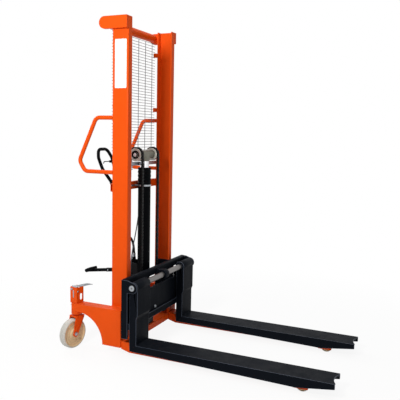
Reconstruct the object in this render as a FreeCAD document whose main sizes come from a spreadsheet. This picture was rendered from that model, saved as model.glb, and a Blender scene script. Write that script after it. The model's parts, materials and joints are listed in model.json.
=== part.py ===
import FreeCAD, Part
import Sketcher
import math
import os
import re
from types import SimpleNamespace

# Hand pallet stacker with fixed masts. Millimetres, +X along the forks, +Z up.
# The origin is on the floor, below the middle of the whole machine.
# Each right-hand piece is modelled on the -Y side and mirrored to the left.

Vector = FreeCAD.Vector
up = Vector(0, 0, 1)
wide_bend_share = 0.45

sizes = {
    # forks
    "fork_length": 1150,
    "fork_width": 152,
    "fork_height": 90,
    "fork_wall": 8,
    "fork_centre_y": 308,
    "fork_tip_depth": 30,
    "fork_tip_taper": 200,
    "tip_scallop_radius": 120,
    "tip_scallop_depth": 16,
    "fork_front_depth": 58,
    "fork_heel_depth": 40,
    "arm_thickness": 45,
    "arm_step": 8,
    "arm_step_z": 250,
    "arm_step_rise": 20,
    "hanger_radius": 32,
    "rear_reach": 569,
    # clearances
    "running_gap": 0.05,
    "free_gap": 0.3,
    "side_gap": 1,
    "overrun": 5,
    # carriage
    "shaft_radius": 17.5,
    "shaft_setback": 22,
    "shaft_z": 435,
    "shaft_overhang": 4,
    "end_plate_thickness": 12,
    "end_plate_depth": 40,
    "end_plate_gap": 8,
    "end_plate_bottom_z": 126,
    "end_plate_top_z": 478,
    "end_plate_ear_radius": 33,
    "top_bar_bottom_z": 440,
    "top_bar_depth": 33,
    "top_bar_height": 42,
    "top_bar_round": 10,
    "lug_width": 40,
    "lug_radius": 31,
    "cross_plate_thickness": 15,
    "cross_plate_setback": 15,
    "cross_plate_bottom_z": 215,
    "cross_plate_top_z": 362,
    "lower_bar_height": 37,
    "shelf_thickness": 12,
    "shelf_width": 42,
    "shelf_top_z": 330,
    "clevis_height": 15,
    "roller_plate_thickness": 12,
    "roller_plate_gap": 3,
    "roller_plate_bottom_z": 105,
    "roller_plate_top_z": 470,
    "roller_plate_margin": 30,
    "guide_upper_z": 415,
    "guide_lower_z": 152,
    "guide_roller_width": 34,
    "guide_pin_radius": 15,
    # masts
    "mast_height": 1990,
    "mast_half_width": 296,
    "mast_depth": 107,
    "mast_flange": 46,
    "mast_wall": 8,
    "mast_bend": 7,
    "mast_setback": 117,
    "cap_thickness": 19,
    "cap_height": 71,
    "cap_overhang": 80,
    "top_tube_radius": 26,
    "top_tube_wall": 4,
    "top_collar_radius": 32,
    "top_collar_length": 14,
    "upper_beam_depth": 31,
    "upper_beam_height": 48,
    "upper_beam_half_length": 276,
    "upper_beam_wall": 4,
    "upper_beam_chamfer": 12,
    # wire guard
    "guard_inset": 34,
    "guard_lift": 209,
    "guard_drop": 73,
    "guard_standoff": 20,
    "guard_wire": 4,
    "guard_pitch": 18,
    "bracket_height": 26,
    "bracket_inset": 26,
    # grab handles
    "handle_y": 283,
    "handle_radius": 12.5,
    "handle_top_z": 1412,
    "handle_low_z": 1089,
    "handle_knee_z": 1152,
    "handle_top_reach": 120,
    "handle_knee_reach": 240,
    "handle_low_reach": 200,
    "handle_bend": 38,
    # base
    "base_bottom_z": 52,
    "base_top_z": 277,
    "base_side_width": 69,
    "base_wall": 6,
    "base_foot_length": 128,
    "rail_length": 332,
    "rail_height": 48,
    "socket_radius": 34,
    "socket_length": 70,
    "cross_beam_height": 40,
    "cross_beam_depth": 106,
    "cross_beam_wall": 5,
    # legs and load rollers
    "leg_width": 100,
    "leg_wall": 6,
    "leg_top_z": 72,
    "leg_bottom_z": 30,
    "leg_heel_top_z": 92,
    "leg_heel_bottom_z": 45,
    "leg_heel_length": 55,
    "leg_nose_drop": 11,
    "leg_nose_length": 90,
    "load_roller_radius": 37,
    "load_roller_width": 70,
    "load_roller_setback": 175,
    "load_roller_margin": 34,
    "load_axle_radius": 10,
    "load_tread_round": 4,
    # pump and cylinder
    "pump_front_margin": 6,
    "pump_length": 215,
    "pump_half_width": 62,
    "pump_base_height": 58,
    "pump_round": 12,
    "barrel_boss_radius": 52,
    "barrel_boss_height": 35,
    "tower_length": 78,
    "tower_half_width": 42,
    "tower_top_z": 330,
    "tower_cheek": 12,
    "cheek_top_z": 462,
    "cheek_overhang": 26,
    "barrel_radius": 40,
    "barrel_wall": 8,
    "barrel_length": 856,
    "head_radius": 42,
    "head_height": 103,
    "head_groove": 2,
    "head_rib_height": 12,
    "ram_radius": 28,
    "ram_wall": 7,
    "ram_show": 41,
    "ram_bottom_margin": 93,
    "clamp_thickness": 3.5,
    "clamp_height": 10,
    "clamp_drop": 10,
    "clamp_half_width": 20,
    "clamp_tail": 96,
    # crosshead, pulleys and chains
    "crosshead_radius": 32,
    "crosshead_rise": 42,
    "crosshead_arm_radius": 26,
    "crosshead_socket": 26,
    "pulley_y": 101,
    "pulley_rim_radius": 36.5,
    "pulley_flange": 3.5,
    "pulley_flange_width": 4,
    "pulley_width": 32,
    "pulley_gap": 4,
    "pulley_pin_radius": 11,
    "pin_collar_radius": 16,
    "pin_collar_length": 4,
    "chain_thickness": 12,
    "chain_gap": 0.5,
    "chain_width": 20,
    "chain_pitch": 19.05,
    "chain_waist": 1.8,
    "anchor_bar_depth": 35,
    "anchor_bar_height": 22,
    "anchor_bar_lift": 13,
    "anchor_bar_edge": 4,
    "anchor_block": 24,
    "anchor_block_height": 8,
    "anchor_rod_radius": 6,
    "anchor_rod_drop": 74,
    "anchor_nut_radius": 13,
    "anchor_nut_height": 14,
    # hoses
    "pressure_hose_radius": 7.5,
    "return_hose_radius": 3.5,
    "port_z": 498,
    "port_radius": 12,
    "port_rise": 26,
    "hose_swing": 140,
    "return_port_radius": 6.5,
    "return_port_length": 8,
    "return_port_lift": 80,
    # casters
    "kingpin_setback": 4,
    "caster_trail": 35,
    "wheel_radius": 90,
    "wheel_width": 45,
    "wheel_round": 9,
    "wheel_web_depth": 6,
    "wheel_hub_radius": 30,
    "wheel_rim_depth": 18,
    "wheel_side_gap": 2,
    "caster_axle_radius": 10,
    "axle_head_radius": 12,
    "axle_head_height": 8,
    "yoke_wall": 6,
    "yoke_crown_thickness": 10,
    "yoke_crown_gap": 8,
    "yoke_crown_half_length": 34,
    "yoke_end_radius": 19,
    "kingpin_radius": 13,
    "kingpin_collar_radius": 20,
    "brake_rod_radius": 6,
    "brake_shoe_radius": 10,
    "brake_shoe_height": 5.5,
    "brake_bracket_width": 57,
    "brake_bracket_height": 100,
    "brake_bracket_wall": 4,
    "brake_slot_radius": 9,
    "brake_slot_height": 22,
    "brake_pivot_back": 17,
    "brake_pivot_z": 352,
    "brake_pivot_radius": 5,
    "brake_pedal_width": 44,
    "brake_pedal_thickness": 5,
    "brake_pedal_reach": 126,
    "brake_pedal_top_drop": 2,
    # tiller and pedal
    "tiller_pivot_back": 114,
    "tiller_pivot_z": 380,
    "tiller_boss_radius": 18,
    "tiller_pin_radius": 10,
    "tiller_tube_radius": 16,
    "tiller_neck_back": 118,
    "tiller_neck_rise": 613,
    "tiller_roller_reach": 45,
    "tiller_roller_radius": 14,
    "tiller_roller_half_width": 12,
    "loop_radius": 10.5,
    "loop_bend": 46,
    "loop_height": 238,
    "loop_half_width": 78,
    "loop_boss_radius": 21,
    "loop_root_half_width": 9,
    "loop_boss_half_length": 24,
    "lever_radius": 4,
    "lever_rise": 153,
    "lever_pivot_y": 53,
    "lever_lug_depth": 9,
    "lever_lug_half": 8,
    "lever_slot_depth": 9,
    "lever_pin_radius": 3,
    "lever_eye_radius": 7.5,
    "lever_eye_width": 7,
    "lever_finger": 80,
    "lever_hook_reach": 12,
    "lever_hook_drop": 11,
    "piston_radius": 12,
    "piston_length": 180,
    "piston_gap": 0.5,
    "pedal_pivot_z": 438,
    "pedal_pivot_back": 174,
    "pedal_hub_radius": 15,
    "pedal_hub_length": 24,
    "pedal_pin_radius": 8,
    "pedal_rod_radius": 11,
    "pedal_socket_radius": 13,
    "pedal_socket_length": 72,
    "pedal_pad_length": 48,
    "pedal_pad_width": 60,
    "pedal_pad_thickness": 23,
    "pedal_pad_lift": 3,
}

angles = {
    "caster_swivel_angle": 78,
    "return_port_angle": 150,
    "tiller_roller_angle": 25,
    "loop_lean_angle": 20.5,
    "pedal_slope_angle": 7.7,
    "pedal_pad_angle": 16.5,
}

counts = {
    "guard_column_count": 6,
    "head_rib_count": 4,
    "hexagon_side_count": 6,
}

# Where each piece stands, worked out from the sizes above.
places = {
    "arm_x": "(rear_reach - fork_length) / 2",
    "tip_x": "arm_x + fork_length",
    "arm_rear_x": "arm_x - arm_thickness",
    "fork_outer_y": "fork_centre_y + fork_width / 2",
    "fork_inner_y": "fork_centre_y - fork_width / 2",
    "mast_front_x": "arm_x - mast_setback",
    "mast_rear_x": "mast_front_x - mast_depth",
    "cylinder_x": "mast_front_x - mast_depth / 2",
    "mast_inner_y": "mast_half_width - mast_flange",
    "web_inner_y": "mast_half_width - mast_wall",
    "cap_radius": "cap_height / 2",
    "cap_end_x": "mast_rear_x - cap_overhang + cap_radius",
    "cap_end_z": "mast_height - cap_radius",
    "cap_bottom_z": "mast_height - cap_height",
    "base_outer_y": "mast_half_width + base_side_width",
    "rail_bottom_z": "base_top_z - rail_height",
    "arch_radius": "rail_bottom_z - base_bottom_z",
    "arch_front_x": "mast_front_x - base_foot_length",
    "arch_x": "arch_front_x - arch_radius",
    "arch_inner_x": "arch_x + sqrt((arch_radius + base_wall) ^ 2 - base_wall ^ 2)",
    "rail_rear_x": "mast_front_x - rail_length",
    "kingpin_x": "rail_rear_x - kingpin_setback",
    "kingpin_y": "mast_half_width + base_side_width / 2",
    "socket_bottom_z": "base_top_z - socket_length",
    "cross_beam_top_z": "base_bottom_z + cross_beam_height",
    "load_roller_x": "tip_x - load_roller_setback",
    "leg_end_x": "load_roller_x + load_roller_margin",
    "shaft_x": "arm_x - shaft_setback",
    "end_plate_y": "fork_outer_y + side_gap",
    "end_plate_front_x": "arm_rear_x - end_plate_gap",
    "end_plate_rear_x": "end_plate_front_x - end_plate_depth",
    "cross_plate_front_x": "arm_rear_x - cross_plate_setback",
    "cross_plate_rear_x": "cross_plate_front_x - cross_plate_thickness",
    "roller_plate_y": "mast_inner_y - roller_plate_gap - roller_plate_thickness",
    "guide_roller_radius": "mast_depth / 2 - mast_wall - free_gap",
    "pump_front_x": "cylinder_x + barrel_radius + pump_front_margin",
    "pump_rear_x": "pump_front_x - pump_length",
    "tower_front_x": "pump_rear_x + tower_length",
    "pump_base_top_z": "cross_beam_top_z + pump_base_height",
    "barrel_top_z": "pump_base_top_z + barrel_length",
    "head_top_z": "barrel_top_z + head_height",
    "clamp_z": "barrel_top_z - clamp_drop",
    "crosshead_bottom_z": "head_top_z + ram_show",
    "ram_bottom_z": "pump_base_top_z + ram_bottom_margin",
    "pulley_z": "crosshead_bottom_z + crosshead_rise",
    "chain_radius": "pulley_rim_radius + chain_gap + chain_thickness / 2",
    "chain_front_x": "cylinder_x + chain_radius",
    "chain_rear_x": "cylinder_x - chain_radius",
    "anchor_bar_bottom_z": "head_top_z + anchor_bar_lift",
    "anchor_bar_top_z": "anchor_bar_bottom_z + anchor_bar_height",
    "anchor_block_top_z": "anchor_bar_top_z + anchor_block_height",
    "anchor_bar_front_x": "chain_rear_x + anchor_rod_radius + anchor_bar_edge",
    "chain_foot_z": "shelf_top_z + clevis_height",
    "guard_top_z": "mast_height - guard_drop",
    "guard_bottom_z": "barrel_top_z + guard_lift",
    "guard_height": "guard_top_z - guard_bottom_z",
    "guard_half_width": "mast_half_width - guard_inset",
    "guard_front_x": "mast_rear_x - guard_standoff",
    "wheel_top_z": "2 * wheel_radius",
    "yoke_crown_bottom_z": "wheel_top_z + yoke_crown_gap",
    "yoke_crown_top_z": "yoke_crown_bottom_z + yoke_crown_thickness",
    "yoke_half_gap": "wheel_width / 2 + wheel_side_gap",
    "yoke_half_width": "yoke_half_gap + yoke_wall",
    "bracket_floor_z": "base_top_z + free_gap",
    "bracket_top_z": "bracket_floor_z + brake_bracket_height",
    "kingpin_top_z": "bracket_floor_z + brake_bracket_wall",
    "tiller_x": "cylinder_x - tiller_pivot_back",
    "tiller_roller_x": "tiller_x - tiller_roller_reach * cos(tiller_roller_angle)",
    "tiller_roller_z": "tiller_pivot_z + tiller_roller_reach * sin(tiller_roller_angle)",
    "hose_x": "(tower_front_x + cylinder_x - barrel_boss_radius) / 2",
    "elbow_top_z": "port_z + port_rise",
    "return_port_z": "barrel_top_z + return_port_lift",
    "pedal_x": "cylinder_x - pedal_pivot_back",
    "pedal_rear_x": "arm_x - rear_reach",
}

doc = FreeCAD.newDocument("hand_pallet_stacker")


def fill_sheet(name, entries):
    sheet = doc.addObject("Spreadsheet::Sheet", name)
    for row, (alias, content) in enumerate(entries.items(), start=1):
        cell = f"B{row}"
        sheet.set(f"A{row}", alias)
        sheet.set(cell, content)
        sheet.setAlias(cell, alias)
    return sheet


plain_numbers = {**sizes, **angles, **counts}


def link(text):
    """The text as an expression on the two sheets' cells."""
    def cell(match):
        word = match.group(0)
        if word in plain_numbers:
            return "Sizes." + word
        if word in places:
            return "Places." + word
        return word
    return re.sub(r"[a-z][a-z_]*", cell, text)


size_sheet = fill_sheet("Sizes", {name: str(number) for name, number in plain_numbers.items()})
place_sheet = fill_sheet("Places", {name: "=" + link(text) for name, text in places.items()})
doc.recompute()

value = SimpleNamespace()
for name in plain_numbers:
    setattr(value, name, getattr(size_sheet, name))
for name in places:
    setattr(value, name, getattr(place_sheet, name))


def measure(text):
    """The number that an expression on the sheets' names comes to."""
    def number(match):
        return f"({getattr(value, match.group(0))})"
    return FreeCAD.Units.Quantity(re.sub(r"[a-z][a-z_]*", number, text)).Value


# Construction helpers

def bind(item, **texts):
    for prop, text in texts.items():
        item.setExpression(prop, link(text))
    return item


def stand(item, x="0", y="0", z="0", rotation=None):
    item.Placement = FreeCAD.Placement(Vector(), rotation or FreeCAD.Rotation())
    for axis, text in zip("xyz", (x, y, z)):
        item.setExpression(f"Placement.Base.{axis}", link(text))
    return item


def box(name, low, high):
    """A block between two corners."""
    item = doc.addObject("Part::Box", name)
    spans = [f"({top}) - ({bottom})" for bottom, top in zip(low, high)]
    bind(item, Length=spans[0], Width=spans[1], Height=spans[2])
    return stand(item, *low)


turns = {
    "X": FreeCAD.Rotation(Vector(0, 1, 0), 90),
    "Y": FreeCAD.Rotation(Vector(1, 0, 0), -90),
    "Z": FreeCAD.Rotation(),
}


def rod(name, radius, length, start, axis="Z"):
    """A round bar along a main axis, or along its own Z turned by a rotation."""
    item = doc.addObject("Part::Cylinder", name)
    bind(item, Radius=radius, Height=length)
    return stand(item, *start, rotation=turns[axis] if isinstance(axis, str) else axis)


def hexagon(name, radius, length, start, axis="Z"):
    item = doc.addObject("Part::Prism", name)
    item.Polygon = int(value.hexagon_side_count)
    bind(item, Circumradius=radius, Height=length)
    return stand(item, *start, rotation=turns[axis])


def join(name, *solids):
    item = doc.addObject("Part::MultiFuse", name)
    item.Shapes = list(solids)
    item.Refine = True
    return item


def cut(name, base, *tools):
    item = doc.addObject("Part::Cut", name)
    item.Base = base
    item.Tool = tools[0] if len(tools) == 1 else join(name + "_tools", *tools)
    item.Refine = True
    return item


def mirror(name, source):
    item = doc.addObject("Part::Mirroring", name)
    item.Source = source
    item.Base = Vector()
    item.Normal = Vector(0, 1, 0)
    return item


def group(name, *solids):
    item = doc.addObject("Part::Compound", name)
    item.Links = list(solids)
    return item


def solid(name, shape):
    item = doc.addObject("Part::Feature", name)
    item.Shape = shape
    return item


# The points of a sketch curve, in the order that constraints count them
curve_points = ("edge", "start", "end", "centre")
start_point = curve_points.index("start")
end_point = curve_points.index("end")
centre_point = curve_points.index("centre")


def sketch_on(body, role, name):
    plane = next(item for item in body.Origin.OriginFeatures if item.Role == role)
    sketch = body.newObject("Sketcher::SketchObject", name)
    sketch.AttachmentSupport = [(plane, "")]
    sketch.MapMode = "FlatFace"
    return sketch


def arc_between(start, end, radius, side):
    """The shorter arc from start to end that turns left or right."""
    chord = end - start
    half = chord.Length / 2
    rise = math.sqrt(max(radius * radius - half * half, 0))
    across = Vector(-chord.y, chord.x, 0).normalize()
    centre = start + chord / 2 + across * (rise if side == "left" else -rise)
    first, last = (start, end) if side == "left" else (end, start)
    low = math.atan2(first.y - centre.y, first.x - centre.x)
    high = math.atan2(last.y - centre.y, last.x - centre.x)
    if high <= low:
        high += 2 * math.pi
    return Part.ArcOfCircle(Part.Circle(centre, up, radius), low, high)


def draw(sketch, outline):
    """A closed outline. Each step is (x, y), a line to that point, or (x, y, radius, side), an arc to it.

    The radius of a half circle is given as the word half: its centre is then held level with its ends.
    """
    corners = [Vector(measure(step[0]), measure(step[1]), 0) for step in outline]
    begins, ends = [], []
    for index, step in enumerate(outline):
        if len(step) == 2:
            curve = Part.LineSegment(corners[index - 1], corners[index])
            order = (start_point, end_point)
        else:
            chord = (corners[index] - corners[index - 1]).Length
            radius = chord / 2 if step[2] == "half" else measure(step[2])
            curve = arc_between(corners[index - 1], corners[index], radius, step[3])
            order = (start_point, end_point) if step[3] == "left" else (end_point, start_point)
        sketch.addGeometry(curve, False)
        begins.append(order[0])
        ends.append(order[1])
    count = len(outline)
    for index in range(count):
        following = (index + 1) % count
        sketch.addConstraint(
            Sketcher.Constraint("Coincident", index, ends[index], following, begins[following]))
    for index, step in enumerate(outline):
        for kind, text in zip(("DistanceX", "DistanceY"), step[:2]):
            rule = sketch.addConstraint(Sketcher.Constraint(kind, index, ends[index], measure(text)))
            sketch.setExpression(f"Constraints[{rule}]", link(text))
        if len(step) > 2 and step[2] == "half":
            upright = step[0] == outline[index - 1][0]
            kind, text = ("DistanceX", step[0]) if upright else ("DistanceY", step[1])
            rule = sketch.addConstraint(Sketcher.Constraint(kind, index, centre_point, measure(text)))
            sketch.setExpression(f"Constraints[{rule}]", link(text))
        elif len(step) > 2:
            rule = sketch.addConstraint(Sketcher.Constraint("Radius", index, measure(step[2])))
            sketch.setExpression(f"Constraints[{rule}]", link(step[2]))


def plate(name, role, outline, thickness, start):
    """An outline on one of the main planes, padded along that plane's axis from start."""
    body = doc.addObject("PartDesign::Body", name)
    sketch = sketch_on(body, role, name + "_outline")
    draw(sketch, outline)
    pad = body.newObject("PartDesign::Pad", name + "_pad")
    pad.Profile = sketch
    pad.setExpression("Length", link(thickness))
    pad.Reversed = role == "XZ_Plane"
    axis = {"XY_Plane": "z", "XZ_Plane": "y"}[role]
    body.setExpression(f"Placement.Base.{axis}", link(start))
    return body


def turned(name, outline, x="0", y="0", z="0", axis="Z"):
    """A half profile of (radius, height) steps, turned about its own upright axis."""
    body = doc.addObject("PartDesign::Body", name)
    sketch = sketch_on(body, "XZ_Plane", name + "_profile")
    draw(sketch, outline)
    spin = body.newObject("PartDesign::Revolution", name + "_turn")
    spin.Profile = sketch
    spin.ReferenceAxis = (sketch, ["V_Axis"])
    spin.Angle = 360
    return stand(body, x, y, z, rotation=turns[axis])


def bent_path(points, bend):
    """Straight runs joined by tangent arcs of the bend's radius, or as wide as the runs allow without one."""
    edges = []
    place = points[0]
    for before, corner, after in zip(points, points[1:], points[2:]):
        shorter = min((before - corner).Length, (after - corner).Length)
        inward = (before - corner).normalize()
        outward = (after - corner).normalize()
        half_corner = inward.getAngle(outward) / 2
        reach = bend / math.tan(half_corner) if bend else wide_bend_share * shorter
        radius = reach * math.tan(half_corner)
        centre = corner + (inward + outward).normalize() * (radius / math.sin(half_corner))
        middle = centre + (corner - centre).normalize() * radius
        edges.append(Part.LineSegment(place, corner + inward * reach).toShape())
        place = corner + outward * reach
        edges.append(Part.Arc(corner + inward * reach, middle, place).toShape())
    edges.append(Part.LineSegment(place, points[-1]).toShape())
    return Part.Wire(edges)


def tube_along(points, bend, radius):
    path = bent_path(points, bend)
    ring = Part.Wire([Part.Circle(points[0], points[1] - points[0], radius).toShape()])
    return path.makePipeShell([ring], True, False)


pieces = []


def keep(item, label):
    item.Label = label
    pieces.append(item)
    return item


def keep_pair(item, label):
    """A right-hand piece and its mirror image."""
    keep(item, label + "_right")
    keep(mirror(label + "_mirror", item), label + "_left")


def keep_both(item, label):
    """A right-hand piece and its mirror image in one node."""
    keep(group(label + "_both", item, mirror(label + "_mirror", item)), label)


# Masts: C channels that open towards each other

def make_masts():
    outline = [
        ("mast_front_x - mast_bend", "-mast_half_width"),
        ("mast_front_x", "-mast_half_width + mast_bend", "mast_bend", "left"),
        ("mast_front_x", "-mast_inner_y"),
        ("mast_front_x - mast_wall", "-mast_inner_y"),
        ("mast_front_x - mast_wall", "-web_inner_y"),
        ("mast_rear_x + mast_wall", "-web_inner_y"),
        ("mast_rear_x + mast_wall", "-mast_inner_y"),
        ("mast_rear_x", "-mast_inner_y"),
        ("mast_rear_x", "-mast_half_width + mast_bend"),
        ("mast_rear_x + mast_bend", "-mast_half_width", "mast_bend", "left"),
    ]
    mast = plate("mast", "XY_Plane", outline, "mast_height - base_bottom_z", "base_bottom_z")
    keep_pair(mast, "mast")


# Plates on the mast tops, with a round end that holds the tie tube

def make_caps():
    outline = [
        ("mast_front_x", "cap_bottom_z"),
        ("mast_front_x", "mast_height"),
        ("cap_end_x", "mast_height"),
        ("cap_end_x", "cap_bottom_z", "half", "left"),
    ]
    cap = plate("mast_cap", "XZ_Plane", outline, "cap_thickness", "-mast_half_width - cap_thickness")
    keep_both(cap, "mast_caps")
    outline = [
        ("top_tube_radius - top_tube_wall", "-mast_half_width"),
        ("top_collar_radius", "-mast_half_width"),
        ("top_collar_radius", "-mast_half_width + top_collar_length"),
        ("top_tube_radius", "-mast_half_width + top_collar_length"),
        ("top_tube_radius", "mast_half_width - top_collar_length"),
        ("top_collar_radius", "mast_half_width - top_collar_length"),
        ("top_collar_radius", "mast_half_width"),
        ("top_tube_radius - top_tube_wall", "mast_half_width"),
    ]
    tie = turned("tie_tube", outline, x="cap_end_x", z="cap_end_z", axis="Y")
    keep(tie, "top_tube")


# Upper cross beam: a flat tube with chamfered ends, welded to the backs of the masts

def make_upper_beam():
    low, high = "clamp_z - upper_beam_height / 2", "clamp_z + upper_beam_height / 2"
    outline = [
        ("mast_rear_x", "-upper_beam_half_length"),
        ("mast_rear_x", "upper_beam_half_length"),
        ("mast_rear_x - upper_beam_depth + upper_beam_chamfer", "upper_beam_half_length"),
        ("mast_rear_x - upper_beam_depth", "upper_beam_half_length - upper_beam_chamfer"),
        ("mast_rear_x - upper_beam_depth", "-upper_beam_half_length + upper_beam_chamfer"),
        ("mast_rear_x - upper_beam_depth + upper_beam_chamfer", "-upper_beam_half_length"),
    ]
    bar = plate("upper_beam_bar", "XY_Plane", outline, "upper_beam_height", low)
    hollow = box(
        "upper_beam_hollow",
        ("mast_rear_x - upper_beam_depth + upper_beam_wall", "-upper_beam_half_length - overrun",
         f"{low} + upper_beam_wall"),
        ("mast_rear_x - upper_beam_wall", "upper_beam_half_length + overrun", f"{high} - upper_beam_wall"))
    keep(cut("upper_beam", bar, hollow), "upper_cross_beam")


# Wire guard: one face with a hole for each gap, and the tabs that stand it off the masts

def make_guard():
    columns = int(value.guard_column_count)
    rows = round(value.guard_height / value.guard_pitch)
    half_wire = value.guard_wire / 2
    half_width = value.guard_half_width
    column_step = 2 * half_width / columns
    row_step = (value.guard_height - value.guard_wire) / rows
    rungs = [value.guard_bottom_z + half_wire + row * row_step for row in range(rows + 1)]

    def loop(corners):
        points = [Vector(value.guard_front_x, y, z) for y, z in corners]
        return Part.makePolygon(points + points[:1])

    # The outer edge runs along each rung's free end, past the last upright.
    edge_y = half_width - column_step / 2 + half_wire
    side = []
    for z in rungs:
        side += [(edge_y, z - half_wire), (half_width, z - half_wire)]
        side += [(half_width, z + half_wire), (edge_y, z + half_wire)]
    side = side[1:-1]
    wires = [loop(side + [(-y, z) for y, z in reversed(side)])]
    for column in range(columns - 1):
        left = -half_width + column_step * (column + 1 / 2) + half_wire
        right = left + column_step - 2 * half_wire
        for below, above in zip(rungs, rungs[1:]):
            low, high = below + half_wire, above - half_wire
            wires.append(loop([(left, low), (right, low), (right, high), (left, high)]))
    face = Part.makeFace(wires, "Part::FaceMakerBullseye")
    keep(solid("guard", face.extrude(Vector(-value.guard_wire, 0, 0))), "mesh_guard")
    tabs = []
    # Heights of the tabs, as shares of the guard's height.
    tab_height_shares = [0.38, 0.89]
    for row, share in enumerate(tab_height_shares):
        middle = f"guard_bottom_z + guard_height * {share}"
        tab = box(f"guard_tab_{row}",
                  ("guard_front_x", "-guard_half_width", f"{middle} - bracket_height / 2"),
                  ("mast_rear_x", "-guard_half_width + bracket_inset", f"{middle} + bracket_height / 2"))
        tabs += [tab, mirror(f"guard_tab_mirror_{row}", tab)]
    keep(group("guard_tabs", *tabs), "mesh_brackets")


# Grab handles: bent tube behind each mast

def make_handles():
    y = -value.handle_y
    back = value.mast_rear_x
    points = [
        Vector(back, y, value.handle_top_z),
        Vector(back - value.handle_top_reach, y, value.handle_top_z),
        Vector(back - value.handle_knee_reach, y, value.handle_knee_z),
        Vector(back - value.handle_low_reach, y, value.handle_low_z),
        Vector(back, y, value.handle_low_z),
    ]
    handle = solid("handle", tube_along(points, value.handle_bend, value.handle_radius))
    keep_both(handle, "grab_handles")


# Base: hollow side boxes with an arch over the caster, sockets for the kingpins, and the low cross beam

def make_base():
    def side(inset, arch):
        return [
            (f"mast_front_x - {inset}", f"base_bottom_z + {inset}"),
            (f"mast_front_x - {inset}", f"base_top_z - {inset}"),
            (f"rail_rear_x + {inset}", f"base_top_z - {inset}"),
            (f"rail_rear_x + {inset}", f"rail_bottom_z + {inset}"),
            ("arch_x", f"rail_bottom_z + {inset}"),
            (arch, f"base_bottom_z + {inset}", f"arch_radius + {inset}", "right"),
        ]
    shell = plate("base_shell", "XZ_Plane", side("0 * base_wall", "arch_front_x"),
                  "base_side_width", "-base_outer_y")
    hollow = plate("base_hollow", "XZ_Plane", side("base_wall", "arch_inner_x"),
                   "base_side_width", "-base_outer_y + base_wall")
    socket = rod("kingpin_socket", "socket_radius", "socket_length",
                 ("kingpin_x", "-kingpin_y", "socket_bottom_z"))
    bore = rod("kingpin_bore", "kingpin_radius + running_gap", "socket_length + 2 * overrun",
               ("kingpin_x", "-kingpin_y", "socket_bottom_z - overrun"))
    pan = cut("base_pan", shell, hollow)
    keep_pair(cut("base_side", join("base_welded", pan, socket), bore), "base_side")

    front = "mast_rear_x + mast_wall + cross_beam_depth"
    tube = box("cross_tube", ("mast_rear_x + mast_wall", "-mast_inner_y", "base_bottom_z"),
               (front, "mast_inner_y", "cross_beam_top_z"))
    inside = box("cross_hollow",
                 ("mast_rear_x + mast_wall + cross_beam_wall", "-mast_inner_y - overrun",
                  "base_bottom_z + cross_beam_wall"),
                 (f"{front} - cross_beam_wall", "mast_inner_y + overrun",
                  "cross_beam_top_z - cross_beam_wall"))
    keep(cut("cross_beam", tube, inside), "base_cross_beam")


# Legs: channels open below, forked at the front round a load roller

def make_legs():
    nose = "leg_bottom_z - leg_nose_drop"
    nose_x = "leg_end_x - leg_nose_length"
    outline = [
        ("mast_front_x", "leg_heel_bottom_z"),
        ("mast_front_x + leg_heel_length", "leg_bottom_z"),
        (nose_x, "leg_bottom_z"),
        (f"{nose_x} + leg_nose_drop", nose),
        ("leg_end_x", nose),
        ("leg_end_x", "leg_top_z"),
        ("mast_front_x + leg_heel_length", "leg_top_z"),
        ("mast_front_x + leg_heel_length", "leg_heel_top_z"),
        ("mast_front_x", "leg_heel_top_z"),
    ]
    beam = plate("leg_beam", "XZ_Plane", outline, "leg_width", "-fork_centre_y - leg_width / 2")
    low_y, high_y = "-fork_centre_y - leg_width / 2 + leg_wall", "-fork_centre_y + leg_width / 2 - leg_wall"
    hollow = box("leg_hollow", ("mast_front_x + leg_wall", low_y, f"{nose} - overrun"),
                 ("leg_end_x + overrun", high_y, "leg_top_z - leg_wall"))
    slot = box("leg_slot", ("load_roller_x - load_roller_radius - load_roller_margin / 4", low_y, nose),
               ("leg_end_x + overrun", high_y, "leg_top_z + overrun"))
    bore = rod("leg_bore", "load_axle_radius", "leg_width + 2 * overrun",
               ("load_roller_x", "-fork_centre_y - leg_width / 2 - overrun", "load_roller_radius"), "Y")
    keep_pair(cut("leg", beam, hollow, slot, bore), "leg")

    axle = rod("load_axle", "load_axle_radius", "leg_width",
               ("load_roller_x", "-fork_centre_y - leg_width / 2", "load_roller_radius"), "Y")
    keep_both(axle, "load_roller_axles")

    half = "load_roller_width / 2"
    tread = [
        ("load_axle_radius + running_gap", f"-{half}"),
        ("load_roller_radius - load_tread_round", f"-{half}"),
        ("load_roller_radius", f"-{half} + load_tread_round", "load_tread_round", "left"),
        ("load_roller_radius", f"{half} - load_tread_round"),
        ("load_roller_radius - load_tread_round", half, "load_tread_round", "left"),
        ("load_axle_radius + running_gap", half),
    ]
    roller = turned("roller", tread, "load_roller_x", "-fork_centre_y", "load_roller_radius", "Y")
    keep_pair(roller, "load_roller")


# Pump block, barrel, head and the strap that ties the barrel to the upper beam

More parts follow.
